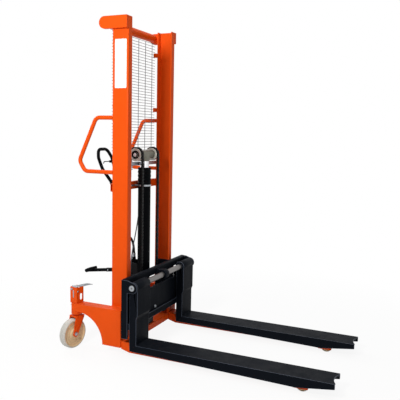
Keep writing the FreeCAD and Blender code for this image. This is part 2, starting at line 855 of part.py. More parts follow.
def make_hydraulics():
    block = plate("pump_base", "XY_Plane", [
        ("pump_rear_x", "-pump_half_width + pump_round"),
        ("pump_rear_x + pump_round", "-pump_half_width", "pump_round", "left"),
        ("pump_front_x - pump_round", "-pump_half_width"),
        ("pump_front_x", "-pump_half_width + pump_round", "pump_round", "left"),
        ("pump_front_x", "pump_half_width - pump_round"),
        ("pump_front_x - pump_round", "pump_half_width", "pump_round", "left"),
        ("pump_rear_x + pump_round", "pump_half_width"),
        ("pump_rear_x", "pump_half_width - pump_round", "pump_round", "left"),
    ], "pump_base_height", "cross_beam_top_z")
    boss = rod("barrel_boss", "barrel_boss_radius", "barrel_boss_height",
               ("cylinder_x", "0", "pump_base_top_z"))
    tower = box("pump_tower", ("pump_rear_x", "-tower_half_width", "pump_base_top_z"),
                ("tower_front_x", "tower_half_width", "tower_top_z"))
    cheek_outline = [
        ("pump_rear_x", "tower_top_z"),
        ("tower_front_x", "tower_top_z"),
        ("tower_front_x", "tiller_pivot_z"),
        ("tiller_x", "tiller_pivot_z + tower_front_x - tiller_x", "tower_front_x - tiller_x", "left"),
        ("pedal_x", "cheek_top_z"),
        ("pump_rear_x - cheek_overhang", "pedal_pivot_z"),
    ]
    cheeks = []
    cheek_starts = {"cheek_right": "-tower_half_width", "cheek_left": "tower_half_width - tower_cheek"}
    for name, start in cheek_starts.items():
        cheeks.append(plate(name, "XZ_Plane", cheek_outline, "tower_cheek", start))
    span = "2 * tower_half_width + 2 * overrun"
    seat = rod("barrel_seat", "barrel_radius", "barrel_boss_height + overrun",
               ("cylinder_x", "0", "pump_base_top_z"))
    tiller_bore = rod("tiller_bore", "tiller_pin_radius + running_gap", span,
                      ("tiller_x", "-tower_half_width - overrun", "tiller_pivot_z"), "Y")
    pedal_bore = rod("pedal_bore", "pedal_pin_radius + running_gap", "tower_cheek + 2 * overrun",
                     ("pedal_x", "-tower_half_width - overrun", "pedal_pivot_z"), "Y")
    piston_bore = rod("piston_bore", "piston_radius + running_gap", "tower_top_z - pump_base_top_z + overrun",
                      ("tiller_roller_x", "0", "pump_base_top_z"))
    body = join("pump_casting", block, boss, tower, *cheeks)
    keep(cut("pump", body, seat, tiller_bore, pedal_bore, piston_bore), "pump_block")

    port = rod("pressure_port", "port_radius", "cylinder_x - hose_x + port_radius",
               ("hose_x - port_radius", "0", "port_z"), "X")
    elbow = rod("pressure_elbow", "port_radius", "port_rise + port_radius",
                ("hose_x", "0", "port_z - port_radius"))
    tube = rod("barrel_tube", "barrel_radius", "barrel_length", ("cylinder_x", "0", "pump_base_top_z"))
    inside = rod("barrel_inside", "barrel_radius - barrel_wall", "barrel_length",
                 ("cylinder_x", "0", "pump_base_top_z + barrel_wall"))
    keep(cut("barrel", join("barrel_outside", tube, port, elbow), inside), "cylinder_barrel")

    ribs = int(value.head_rib_count)
    outline = [("ram_radius + running_gap", "0"), ("head_radius", "0")]
    for rib in range(ribs):
        top = f"head_height - {ribs - 1 - rib} * 2 * head_rib_height"
        outline += [
            ("head_radius", f"{top} - 2 * head_rib_height + head_groove"),
            ("head_radius - head_groove", f"{top} - 2 * head_rib_height + 2 * head_groove"),
            ("head_radius - head_groove", f"{top} - head_rib_height"),
            ("head_radius", f"{top} - head_rib_height + head_groove"),
        ]
    outline += [
        ("head_radius", "head_height - head_groove"),
        ("head_radius - head_groove", "head_height"),
        ("ram_radius + running_gap", "head_height"),
    ]
    gland = turned("gland", outline, "cylinder_x", "0", "barrel_top_z")
    toward_port = FreeCAD.Rotation(up, value.return_port_angle).multiply(turns["X"])
    nipple = rod("return_nipple", "return_port_radius", "head_radius + return_port_length",
                 ("cylinder_x", "0", "return_port_z"), toward_port)
    bore = rod("gland_bore", "ram_radius + running_gap", "head_height", ("cylinder_x", "0", "barrel_top_z"))
    keep(cut("head", join("gland_solid", gland, nipple), bore), "cylinder_head")

    band = rod("clamp_band", "barrel_radius + clamp_thickness", "clamp_height",
               ("cylinder_x", "0", "clamp_z - clamp_height / 2"))
    saddle = box("clamp_saddle", ("mast_rear_x", "-clamp_half_width", "clamp_z - clamp_height / 2"),
                 ("cylinder_x", "clamp_half_width", "clamp_z + clamp_height / 2"))
    eye = rod("clamp_eye", "barrel_radius", "clamp_height + 2 * overrun",
              ("cylinder_x", "0", "clamp_z - clamp_height / 2 - overrun"))
    tail = box("clamp_tail_bar", ("mast_rear_x", "-clamp_tail", "clamp_z - clamp_height / 2"),
               ("mast_rear_x + clamp_thickness", "clamp_half_width", "clamp_z + clamp_height / 2"))
    keep(cut("clamp", join("clamp_solid", band, saddle, tail), eye), "cylinder_clamp")


# Ram, crosshead, pulleys and their axle

def make_crosshead():
    top = "crosshead_bottom_z + crosshead_socket"
    outline = [
        ("ram_radius - ram_wall", "ram_bottom_z"),
        ("ram_radius", "ram_bottom_z"),
        ("ram_radius", top),
        ("0", top),
        ("0", f"{top} - ram_wall"),
        ("ram_radius - ram_wall", f"{top} - ram_wall"),
    ]
    keep(turned("ram_tube", outline, "cylinder_x"), "ram")

    hub = rod("crosshead_hub", "crosshead_radius", "crosshead_rise",
              ("cylinder_x", "0", "crosshead_bottom_z"))
    half_span = "pulley_y - pulley_width / 2 - pulley_gap"
    arm = rod("crosshead_arm", "crosshead_arm_radius", f"2 * ({half_span})",
              ("cylinder_x", f"-({half_span})", "pulley_z"), "Y")
    socket = rod("ram_socket", "ram_radius", "crosshead_socket + overrun",
                 ("cylinder_x", "0", "crosshead_bottom_z - overrun"))
    bore = rod("crosshead_bore", "pulley_pin_radius", f"2 * ({half_span}) + 2 * overrun",
               ("cylinder_x", f"-({half_span}) - overrun", "pulley_z"), "Y")
    keep(cut("crosshead_cast", join("crosshead_solid", hub, arm), socket, bore), "crosshead")

    pin_end = "pulley_y + pulley_width / 2 + free_gap"
    outline = [
        ("0", f"-({pin_end}) - pin_collar_length"),
        ("pin_collar_radius", f"-({pin_end}) - pin_collar_length"),
        ("pin_collar_radius", f"-({pin_end})"),
        ("pulley_pin_radius", f"-({pin_end})"),
        ("pulley_pin_radius", pin_end),
        ("pin_collar_radius", pin_end),
        ("pin_collar_radius", f"{pin_end} + pin_collar_length"),
        ("0", f"{pin_end} + pin_collar_length"),
    ]
    keep(turned("pulley_pin", outline, "cylinder_x", "0", "pulley_z", "Y"), "pulley_axle")

    half = "pulley_width / 2"
    rim = "pulley_rim_radius"
    edge = "pulley_rim_radius + pulley_flange"
    outline = [
        ("pulley_pin_radius + running_gap", f"-{half}"),
        (edge, f"-{half}"),
        (edge, f"-{half} + pulley_flange_width"),
        (rim, f"-{half} + pulley_flange_width"),
        (rim, f"{half} - pulley_flange_width"),
        (edge, f"{half} - pulley_flange_width"),
        (edge, half),
        ("pulley_pin_radius + running_gap", half),
    ]
    keep_pair(turned("pulley", outline, "cylinder_x", "-pulley_y", "pulley_z", "Y"), "chain_pulley")


# Leaf chains: runs with a waist between the pins, and the wrap over each pulley

def make_chains():
    half = value.chain_thickness / 2
    waist = half - value.chain_waist

    def link_marks(length):
        """Distances along a run, and the half thickness there."""
        links = max(1, round(length / value.chain_pitch))
        step = length / links
        marks = [(0, half)]
        for number in range(links):
            start = number * step
            marks += [(start + step / 3, half), (start + step / 2, waist), (start + step * 2 / 3, half)]
        return marks + [(length, half)]

    def run(name, length, point_at):
        """A strip whose points come from the distance along it and the distance off its middle line."""
        marks = link_marks(length)
        outer = [point_at(along, thick) for along, thick in marks]
        inner = [point_at(along, -thick) for along, thick in reversed(marks)]
        face = Part.Face(Part.makePolygon(outer + inner + outer[:1]))
        strip = face.extrude(Vector(0, value.chain_width, 0))
        strip.translate(Vector(0, -value.pulley_y - value.chain_width / 2, 0))
        return solid(name, strip)

    def on_front(along, off):
        return Vector(value.chain_front_x + off, 0, value.chain_foot_z + along)

    def on_rear(along, off):
        return Vector(value.chain_rear_x - off, 0, value.anchor_block_top_z + along)

    def on_wrap(along, off):
        angle = along / value.chain_radius
        spoke = Vector(math.cos(angle), 0, math.sin(angle)) * (value.chain_radius + off)
        return Vector(value.cylinder_x, 0, value.pulley_z) + spoke

    keep_both(run("front_run", value.pulley_z - value.chain_foot_z, on_front), "chain_front_runs")
    keep_both(run("rear_run", value.pulley_z - value.anchor_block_top_z, on_rear), "chain_rear_runs")
    keep_both(run("wrap", math.pi * value.chain_radius, on_wrap), "chain_wraps")


# Fixed ends of the chains: a bar between the masts, and a threaded rod with block and nut for each chain

def make_anchors():
    bar = box("anchor_beam",
              ("anchor_bar_front_x - anchor_bar_depth", "-mast_inner_y", "anchor_bar_bottom_z"),
              ("anchor_bar_front_x", "mast_inner_y", "anchor_bar_top_z"))
    holes = []
    for name, y in (("anchor_hole_right", "-pulley_y"), ("anchor_hole_left", "pulley_y")):
        holes.append(rod(name, "anchor_rod_radius", "anchor_bar_height + 2 * overrun",
                         ("chain_rear_x", y, "anchor_bar_bottom_z - overrun")))
    keep(cut("anchor_bar", bar, *holes), "chain_anchor_bar")

    shank = rod("anchor_shank", "anchor_rod_radius", "anchor_rod_drop + anchor_bar_height",
                ("chain_rear_x", "-pulley_y", "anchor_bar_bottom_z - anchor_rod_drop"))
    block = box("anchor_head",
                ("chain_rear_x - chain_thickness / 2", "-pulley_y - anchor_block / 2", "anchor_bar_top_z"),
                ("chain_rear_x + chain_thickness / 2", "-pulley_y + anchor_block / 2", "anchor_block_top_z"))
    nut = hexagon("anchor_nut", "anchor_nut_radius", "anchor_nut_height",
                  ("chain_rear_x", "-pulley_y", "anchor_bar_bottom_z - anchor_nut_height"))
    keep_both(join("anchor_bolt", shank, block, nut), "chain_anchor_bolts")


# Hoses between the cylinder and the pump block

def make_hoses():
    foot_z = value.pump_base_top_z
    # Sideways swing and height, as shares of hose_swing and of the elbow's height over the pump block.
    pressure_route_shares = [(0, 1), (0, 1.17), (0.25, 1.35), (0.68, 1.4), (0.96, 1.25), (1, 0.95),
                             (0.92, 0.58), (0.6, 0.26), (0.38, 0.11), (0.38, 0)]
    climb = value.elbow_top_z - foot_z
    points = [Vector(value.hose_x, -value.hose_swing * swing, foot_z + climb * rise)
              for swing, rise in pressure_route_shares]
    keep(solid("pressure_line", tube_along(points, None, value.pressure_hose_radius)), "pressure_hose")

    # Distance from the barrel's axis and height, as shares of the nipple's, and the turn away from it
    return_route_shares = [(1, 0, 1), (1.3, 0, 1), (1.26, -0.01, 0.975), (0.98, -0.03, 0.935),
                           (0.98, -0.03, 0.85), (1, 0.14, 0.66), (1.06, 0.36, 0.57), (1.4, 0.45, 0.48),
                           (1.66, 0.4, 0.35), (1.66, 0.36, 0.17), (1.5, 0.3, 0.06), (1.5, 0.3, 0)]
    reach = value.head_radius + value.return_port_length
    climb = value.return_port_z - foot_z
    points = []
    for out, turn, rise in return_route_shares:
        angle = math.radians(value.return_port_angle * (1 + turn))
        spoke = Vector(math.cos(angle), math.sin(angle), 0) * (reach * out)
        points.append(Vector(value.cylinder_x, 0, foot_z + climb * rise) + spoke)
    keep(solid("return_line", tube_along(points, None, value.return_hose_radius)), "return_hose")


# Carriage: end plates, bars, cross plate, roller plates, shaft and guide rollers

def make_carriage():
    outline = [
        ("end_plate_rear_x", "end_plate_bottom_z"),
        ("end_plate_front_x", "end_plate_bottom_z"),
        ("end_plate_front_x", "shaft_z - end_plate_ear_radius"),
        ("shaft_x", "shaft_z - end_plate_ear_radius"),
        ("shaft_x", "shaft_z + end_plate_ear_radius", "half", "left"),
        ("end_plate_front_x", "end_plate_top_z"),
        ("end_plate_rear_x", "end_plate_top_z"),
    ]
    low_y = "-end_plate_y - end_plate_thickness"
    flat = plate("end_flat", "XZ_Plane", outline, "end_plate_thickness", low_y)
    eye = rod("end_eye", "shaft_radius", "end_plate_thickness + 2 * overrun",
              ("shaft_x", f"{low_y} - overrun", "shaft_z"), "Y")
    keep_both(cut("end_plate", flat, eye), "carriage_end_plates")

    bar_front, bar_rear = "cross_plate_front_x", "cross_plate_front_x - top_bar_depth"
    bar_top = "top_bar_bottom_z + top_bar_height"
    outline = [
        (bar_rear, "top_bar_bottom_z"),
        (bar_front, "top_bar_bottom_z"),
        (bar_front, f"{bar_top} - top_bar_round"),
        (f"{bar_front} - top_bar_round", bar_top, "top_bar_round", "left"),
        (f"{bar_rear} + top_bar_round", bar_top),
        (bar_rear, f"{bar_top} - top_bar_round", "top_bar_round", "left"),
    ]
    bar = plate("top_rail", "XZ_Plane", outline, "2 * end_plate_y", "-end_plate_y")
    ring = rod("lug_ring", "lug_radius", "lug_width", ("shaft_x", "-lug_width / 2", "shaft_z"), "Y")
    web = box("lug_web", ("cross_plate_front_x", "-lug_width / 2", "shaft_z - lug_radius"),
              ("shaft_x", "lug_width / 2", "shaft_z + lug_radius"))
    eye = rod("lug_eye", "shaft_radius", "lug_width + 2 * overrun",
              ("shaft_x", "-lug_width / 2 - overrun", "shaft_z"), "Y")
    keep(cut("top_bar", join("top_bar_solid", bar, ring, web), eye), "carriage_top_bar")

    half_shaft = "end_plate_y + end_plate_thickness + shaft_overhang"
    shaft = rod("shaft", "shaft_radius", f"2 * ({half_shaft})",
                ("shaft_x", f"-({half_shaft})", "shaft_z"), "Y")
    keep(shaft, "fork_shaft")

    flat = box("cross_flat", ("cross_plate_rear_x", "-end_plate_y", "cross_plate_bottom_z"),
               ("cross_plate_front_x", "end_plate_y", "cross_plate_top_z"))
    shelves = []
    for name, y in (("shelf_right", "-pulley_y"), ("shelf_left", "pulley_y")):
        shelves.append(box(name, ("chain_front_x - chain_thickness", f"{y} - shelf_width / 2",
                                  "shelf_top_z - shelf_thickness"),
                           ("cross_plate_rear_x", f"{y} + shelf_width / 2", "shelf_top_z")))
        low = ("chain_front_x - chain_thickness / 2", f"{y} - anchor_block / 2", "shelf_top_z")
        high = ("chain_front_x + chain_thickness / 2", f"{y} + anchor_block / 2", "chain_foot_z")
        shelves.append(box(name + "_clevis", low, high))
        shelves.append(hexagon(name + "_nut", "anchor_nut_radius", "anchor_nut_height",
                               ("chain_front_x", y, "shelf_top_z - shelf_thickness - anchor_nut_height")))
    keep(join("cross_plate", flat, *shelves), "carriage_cross_plate")

    bar = box("lower_rail", ("cross_plate_rear_x", "-end_plate_y", "cross_plate_bottom_z - lower_bar_height"),
              ("arm_rear_x - side_gap", "end_plate_y", "cross_plate_bottom_z"))
    keep(bar, "carriage_lower_bar")

    outline = [
        ("cylinder_x - roller_plate_margin", "roller_plate_bottom_z"),
        ("cylinder_x + roller_plate_margin", "roller_plate_bottom_z"),
        ("cross_plate_rear_x", "cross_plate_bottom_z - lower_bar_height"),
        ("cross_plate_rear_x", "top_bar_bottom_z"),
        (bar_rear, "top_bar_bottom_z"),
        (bar_rear, "roller_plate_top_z"),
        ("cylinder_x - roller_plate_margin", "roller_plate_top_z"),
    ]
    flat = plate("roller_flat", "XZ_Plane", outline, "roller_plate_thickness",
                 "-roller_plate_y - roller_plate_thickness")
    pins = []
    for name, z in (("upper_pin", "guide_upper_z"), ("lower_pin", "guide_lower_z")):
        pins.append(rod(name, "guide_pin_radius",
                        "web_inner_y - roller_plate_y - roller_plate_thickness - side_gap",
                        ("cylinder_x", "-web_inner_y + side_gap", z), "Y"))
    keep_both(join("roller_plate", flat, *pins), "carriage_roller_plates")

    middle_y = "web_inner_y - side_gap - guide_roller_width / 2"
    half = "guide_roller_width / 2"
    outline = [
        ("guide_pin_radius + running_gap", f"-{half}"),
        ("guide_roller_radius", f"-{half}"),
        ("guide_roller_radius", half),
        ("guide_pin_radius + running_gap", half),
    ]
    for level, z in (("upper", "guide_upper_z"), ("lower", "guide_lower_z")):
        roller = turned(f"guide_{level}", outline, "cylinder_x", f"-({middle_y})", z, "Y")
        keep_pair(roller, f"guide_roller_{level}")


# Forks: inverted-U blade, stepped arm and hanger on the shaft

def make_forks():
    low_y = "-fork_outer_y"
    outline = [
        ("arm_rear_x", "fork_height - fork_heel_depth"),
        ("tip_x - fork_tip_taper", "fork_height - fork_front_depth"),
        ("tip_x", "fork_height - fork_tip_depth"),
        ("tip_x", "fork_height"),
        ("arm_rear_x", "fork_height"),
    ]
    blade = plate("blade", "XZ_Plane", outline, "fork_width", low_y)
    hollow = box("blade_hollow", ("arm_rear_x - overrun", "-fork_outer_y + fork_wall", "0"),
                 ("tip_x + overrun", "-fork_inner_y - fork_wall", "fork_height - fork_wall"))
    scallop = rod("tip_scallop", "tip_scallop_radius", "fork_wall + 2 * overrun",
                  ("tip_x + tip_scallop_radius - tip_scallop_depth", "-(fork_outer_y + fork_inner_y) / 2",
                   "fork_height - fork_wall - overrun"))
    channel = cut("blade_channel", blade, hollow, scallop)
    outline = [
        ("arm_rear_x", "fork_height - fork_wall"),
        ("arm_x", "fork_height - fork_wall"),
        ("arm_x", "arm_step_z"),
        ("arm_x + arm_step", "arm_step_z + arm_step_rise"),
        ("arm_x + arm_step", "shaft_z"),
        ("arm_rear_x", "shaft_z"),
    ]
    arm = plate("arm", "XZ_Plane", outline, "fork_width", low_y)
    hanger = rod("hanger", "hanger_radius", "fork_width", ("shaft_x", low_y, "shaft_z"), "Y")
    bore = rod("hanger_bore", "shaft_radius + running_gap", "fork_width + 2 * overrun",
               ("shaft_x", f"{low_y} - overrun", "shaft_z"), "Y")
    keep_pair(cut("fork", join("fork_welded", channel, arm, hanger), bore), "fork")


# Casters: drawn about the kingpin, then swivelled and set under the base

def make_casters():
    def place(item):
        turn = FreeCAD.Rotation(up, value.caster_swivel_angle)
        return stand(item, "kingpin_x", "-kingpin_y", "0", rotation=turn)

    side_outline = [
        ("-yoke_crown_half_length", "yoke_crown_bottom_z"),
        ("-caster_trail - yoke_end_radius", "wheel_radius"),
        ("-caster_trail + yoke_end_radius", "wheel_radius", "half", "left"),
        ("yoke_crown_half_length", "yoke_crown_bottom_z"),
        ("yoke_crown_half_length", "yoke_crown_top_z"),
        ("-yoke_crown_half_length", "yoke_crown_top_z"),
    ]
    sides = [plate("yoke_side_right", "XZ_Plane", side_outline, "yoke_wall", "-yoke_half_width"),
             plate("yoke_side_left", "XZ_Plane", side_outline, "yoke_wall", "yoke_half_gap")]
    crown = box("yoke_crown", ("-yoke_crown_half_length", "-yoke_half_width", "yoke_crown_bottom_z"),
                ("yoke_crown_half_length", "yoke_half_width", "yoke_crown_top_z"))
    collar = rod("kingpin_collar", "kingpin_collar_radius", "socket_bottom_z - free_gap - yoke_crown_top_z",
                 ("0", "0", "yoke_crown_top_z"))
    pin = rod("kingpin", "kingpin_radius", "kingpin_top_z - yoke_crown_top_z", ("0", "0", "yoke_crown_top_z"))
    rod_bore = rod("kingpin_hole", "brake_rod_radius + running_gap",
                   "kingpin_top_z - yoke_crown_bottom_z + 2 * overrun",
                   ("0", "0", "yoke_crown_bottom_z - overrun"))
    axle_bore = rod("axle_hole", "caster_axle_radius", "2 * yoke_half_width + 2 * overrun",
                    ("-caster_trail", "-yoke_half_width - overrun", "wheel_radius"), "Y")
    yoke = cut("yoke", join("yoke_welded", *sides, crown, collar, pin), rod_bore, axle_bore)
    keep_pair(place(yoke), "caster_yoke")

    half = "wheel_width / 2"
    web = f"{half} - wheel_web_depth"
    rim = "wheel_radius - wheel_rim_depth"
    outline = [
        ("0", f"-{half} - wheel_side_gap + free_gap"),
        ("wheel_hub_radius", f"-{half} - wheel_side_gap + free_gap"),
        ("wheel_hub_radius + wheel_web_depth", f"-({web})"),
        (rim, f"-({web})"),
        (f"{rim} + wheel_web_depth", f"-{half}"),
        ("wheel_radius - wheel_round", f"-{half}"),
        ("wheel_radius", f"-{half} + wheel_round", "wheel_round", "left"),
        ("wheel_radius", f"{half} - wheel_round"),
        ("wheel_radius - wheel_round", half, "wheel_round", "left"),
        (f"{rim} + wheel_web_depth", half),
        (rim, web),
        ("wheel_hub_radius + wheel_web_depth", web),
        ("wheel_hub_radius", f"{half} + wheel_side_gap - free_gap"),
        ("0", f"{half} + wheel_side_gap - free_gap"),
    ]
    tyre = turned("tyre", outline, "-caster_trail", "0", "wheel_radius", "Y")
    bore = rod("wheel_bore", "caster_axle_radius + running_gap", "2 * yoke_half_width",
               ("-caster_trail", "-yoke_half_width", "wheel_radius"), "Y")
    keep_pair(place(cut("wheel", tyre, bore)), "caster_wheel")

    shank = rod("axle_shank", "caster_axle_radius", "2 * yoke_half_width",
                ("-caster_trail", "-yoke_half_width", "wheel_radius"), "Y")
    heads = []
    for name, y in (("axle_head", "-yoke_half_width - axle_head_height"), ("axle_nut", "yoke_half_width")):
        heads.append(hexagon(name, "axle_head_radius", "axle_head_height",
                             ("-caster_trail", y, "wheel_radius"), "Y"))
    keep_pair(place(join("axle", shank, *heads)), "caster_axle")
    make_brakes(place)


# Foot brake on top of the kingpin: bracket, pedal and the rod that reaches down to the tread

def make_brakes(place):
    half = "brake_bracket_width / 2"
    outer = box("bracket_block", (f"-{half}", f"-{half}", "bracket_floor_z"), (half, half, "bracket_top_z"))
    inner = box("bracket_inside", (f"-{half} + brake_bracket_wall", f"-{half} + brake_bracket_wall",
                                   "kingpin_top_z"),
                (f"{half} + overrun", f"{half} - brake_bracket_wall", "bracket_top_z + overrun"))
    tools = [inner, rod("bracket_hole", "kingpin_radius", "2 * overrun + brake_bracket_wall",
                        ("0", "0", "bracket_floor_z - overrun"))]
    tools.append(rod("bracket_pivot", "brake_pivot_radius + running_gap", "brake_bracket_width + 2 * overrun",
                     ("-brake_pivot_back", f"-{half} - overrun", "brake_pivot_z"), "Y"))
    slot_z = "(kingpin_top_z + brake_pivot_z) / 2"
    for name, sign in (("slot_low", "-"), ("slot_high", "+")):
        end_z = f"{slot_z} {sign} brake_slot_height / 2"
        tools.append(rod(name, "brake_slot_radius", "brake_bracket_width + 2 * overrun",
                         ("brake_slot_radius", f"-{half} - overrun", end_z), "Y"))
    tools.append(box("slot_middle", ("0", f"-{half} - overrun", f"{slot_z} - brake_slot_height / 2"),
                     ("2 * brake_slot_radius", f"{half} + overrun", f"{slot_z} + brake_slot_height / 2")))
    keep_pair(place(cut("bracket", outer, *tools)), "brake_bracket")

    width = "brake_pedal_width / 2"
    top = "bracket_top_z - brake_pedal_top_drop"
    tread = box("pedal_tread", (f"-{half} + brake_bracket_wall + side_gap", f"-{width}",
                                f"{top} - brake_pedal_thickness"),
                ("brake_pedal_reach", width, top))
    lug = box("pedal_lug", ("-brake_pivot_back - brake_pivot_radius", f"-{width} / 2",
                            "brake_pivot_z - brake_pivot_radius - side_gap"),
              ("brake_rod_radius", f"{width} / 2", f"{top} - brake_pedal_thickness"))
    pivot = rod("pedal_pivot", "brake_pivot_radius", "brake_bracket_width",
                ("-brake_pivot_back", f"-{half}", "brake_pivot_z"), "Y")
    keep_pair(place(join("brake_lever", tread, lug, pivot)), "brake_pedal")

    rod_top = "brake_pivot_z - brake_pivot_radius - side_gap - free_gap"
    shoe_bottom = "yoke_crown_bottom_z - free_gap - brake_shoe_height"
    stem = rod("rod_stem", "brake_rod_radius", f"{rod_top} - ({shoe_bottom})", ("0", "0", shoe_bottom))
    shoe = rod("rod_shoe", "brake_shoe_radius", "brake_shoe_height", ("0", "0", shoe_bottom))
    keep_pair(place(join("plunger", stem, shoe)), "brake_rod")


# Tiller with its loop grip, release lever, pump piston and foot pedal

def make_controls():
    pivot = Vector(value.tiller_x, 0, value.tiller_pivot_z)
    neck = pivot + Vector(-value.tiller_neck_back, 0, value.tiller_neck_rise)
    lean = math.radians(value.loop_lean_angle)
    along = Vector(-math.sin(lean), 0, math.cos(lean))
    across = Vector(0, 1, 0)

    def on_loop(sideways, rise):
        return neck + across * sideways + along * rise

    wide, tall = value.loop_half_width, value.loop_height
    root = value.loop_root_half_width
    shoulder_shares = [(0.92, 0.44), (1.0, 0.76), (0.64, 1.0)]
    left = [on_loop(-wide * out, tall * rise) for out, rise in shoulder_shares]
    right = [on_loop(wide * out, tall * rise) for out, rise in reversed(shoulder_shares)]
    corners = [on_loop(-root, 0)] + left + right + [on_loop(root, 0)]
    loop = tube_along(corners, value.loop_bend, value.loop_radius)
    half = value.loop_boss_half_length
    boss = Part.makeCylinder(value.loop_boss_radius, 2 * half, on_loop(0, -half), along)
    arm = Part.makeCylinder(value.tiller_tube_radius, (neck - pivot).Length, pivot, neck - pivot)

    inner = value.tower_half_width - value.tower_cheek - value.side_gap
    hub = Part.makeCylinder(value.tiller_boss_radius, 2 * inner, pivot - across * inner, across)
    outer = value.tower_half_width + value.side_gap
    pin = Part.makeCylinder(value.tiller_pin_radius, 2 * outer, pivot - across * outer, across)
    roller_at = Vector(value.tiller_roller_x, 0, value.tiller_roller_z)
    half = value.tiller_roller_half_width
    roller = Part.makeCylinder(value.tiller_roller_radius, 2 * half, roller_at - across * half, across)
    crank = Part.makeCylinder(value.tiller_roller_radius / 2, value.tiller_roller_reach, pivot,
                              roller_at - pivot)

    # Lug on the left limb of the loop: two cheeks and the pin that the release lever turns on
    ahead = across.cross(along)
    lever_at = on_loop(value.lever_pivot_y, value.lever_rise)
    tilted = FreeCAD.Placement(lever_at, FreeCAD.Rotation(up, along))
    deep, tall_half = value.lever_lug_depth, value.lever_lug_half
    limb = value.loop_half_width - value.lever_pivot_y
    lug = Part.makeBox(2 * deep, limb + tall_half, 2 * tall_half, Vector(-deep, -tall_half, -tall_half))
    open_half = value.lever_eye_width / 2 + value.side_gap
    slot = Part.makeBox(2 * open_half, tall_half + value.lever_slot_depth + value.overrun,
                        2 * (tall_half + value.overrun),
                        Vector(-open_half, -tall_half - value.overrun, -tall_half - value.overrun))
    lug = lug.cut(slot)
    lug.Placement = tilted
    lever_pin = Part.makeCylinder(value.lever_pin_radius, 2 * deep, lever_at - ahead * deep, ahead)
    whole = arm.fuse([hub, pin, roller, crank, loop, boss, lug, lever_pin]).removeSplitter()
    keep(solid("tiller_welded", whole), "tiller")

    half = value.lever_eye_width / 2
    eye = Part.makeCylinder(value.lever_eye_radius, 2 * half, lever_at - ahead * half, ahead)
    eye_bore = Part.makeCylinder(value.lever_pin_radius + value.running_gap, 4 * half,
                                 lever_at - ahead * 2 * half, ahead)
    bend_at = lever_at - across * value.lever_finger
    hook = -across * value.lever_hook_reach - along * value.lever_hook_drop
    thick = value.lever_radius - value.side_gap
    finger = Part.makeCylinder(thick, value.lever_finger, bend_at, across)
    hooked = Part.makeCylinder(thick, hook.Length, bend_at, hook)
    corner = Part.makeSphere(thick, bend_at)
    tip = Part.makeSphere(thick, bend_at + hook)
    bent = eye.fuse([finger, hooked, corner, tip]).cut(eye_bore).removeSplitter()
    keep(solid("lever_bent", bent), "release_lever")

    piston_top = roller_at.z - value.tiller_roller_radius - value.piston_gap
    piston = Part.makeCylinder(value.piston_radius, value.piston_length,
                               Vector(roller_at.x, 0, piston_top - value.piston_length))
    keep(solid("piston", piston), "pump_piston")

    hub_y = -value.tower_half_width - value.free_gap - value.pedal_hub_length
    pedal_at = Vector(value.pedal_x, hub_y + value.pedal_hub_length / 2, value.pedal_pivot_z)
    hub = Part.makeCylinder(value.pedal_hub_radius, value.pedal_hub_length,
                            Vector(value.pedal_x, hub_y, value.pedal_pivot_z), across)
    stub = Part.makeCylinder(value.pedal_pin_radius,
                             value.pedal_hub_length + value.tower_cheek + value.free_gap,
                             Vector(value.pedal_x, hub_y, value.pedal_pivot_z), across)
    slope = math.radians(value.pedal_slope_angle)
    back = Vector(-math.cos(slope), 0, -math.sin(slope))
    rear_round = value.pedal_pad_thickness / 2
    run = (value.pedal_x - value.pedal_rear_x - rear_round) / math.cos(slope)
    bar = Part.makeCylinder(value.pedal_rod_radius, run, pedal_at, back)
    socket = Part.makeCylinder(value.pedal_socket_radius, value.pedal_socket_length, pedal_at, back)
    wide = value.pedal_pad_width
    pad = Part.makeBox(value.pedal_pad_length, wide, 2 * rear_round, Vector(0, -wide / 2, -rear_round))
    pad = pad.fuse(Part.makeCylinder(rear_round, wide, Vector(0, -wide / 2, 0), across))
    heel = pedal_at + back * run + up * value.pedal_pad_lift
    pad.Placement = FreeCAD.Placement(heel, FreeCAD.Rotation(across, -value.pedal_pad_angle))
    pedal = pad.fuse([hub, stub, bar, socket])
    inside = Part.makeBox(value.tower_half_width * 2, value.tower_half_width * 2, value.pedal_socket_length,
                          Vector(value.pedal_x - value.tower_half_width, -value.tower_half_width,
                                 value.pedal_pivot_z - value.pedal_socket_length / 2))
    pedal = pedal.cut(inside.cut(stub)).removeSplitter()
    keep(solid("pedal", pedal), "foot_pedal")


make_masts()
make_caps()
make_upper_beam()
make_guard()
make_handles()
make_base()
make_legs()
make_hydraulics()
make_crosshead()
make_chains()
make_anchors()
make_hoses()
make_carriage()
make_forks()
make_casters()
make_controls()
doc.recompute()

for item in doc.Objects:
    if "Invalid" in item.State or "Error" in item.State:
        raise RuntimeError(f"{item.Label} failed: {item.State}")
for item in pieces:
    if item.Shape.isNull() or not item.Shape.isValid():
        raise RuntimeError(f"{item.Label} has no valid shape")

os.makedirs("parts", exist_ok=True)
for item in pieces:
    item.Shape.exportStep(f"parts/{item.Label}.step")
print(len(pieces), "pieces written")
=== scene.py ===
import json
import math

import bpy
import numpy as np
from mathutils import Matrix, Vector


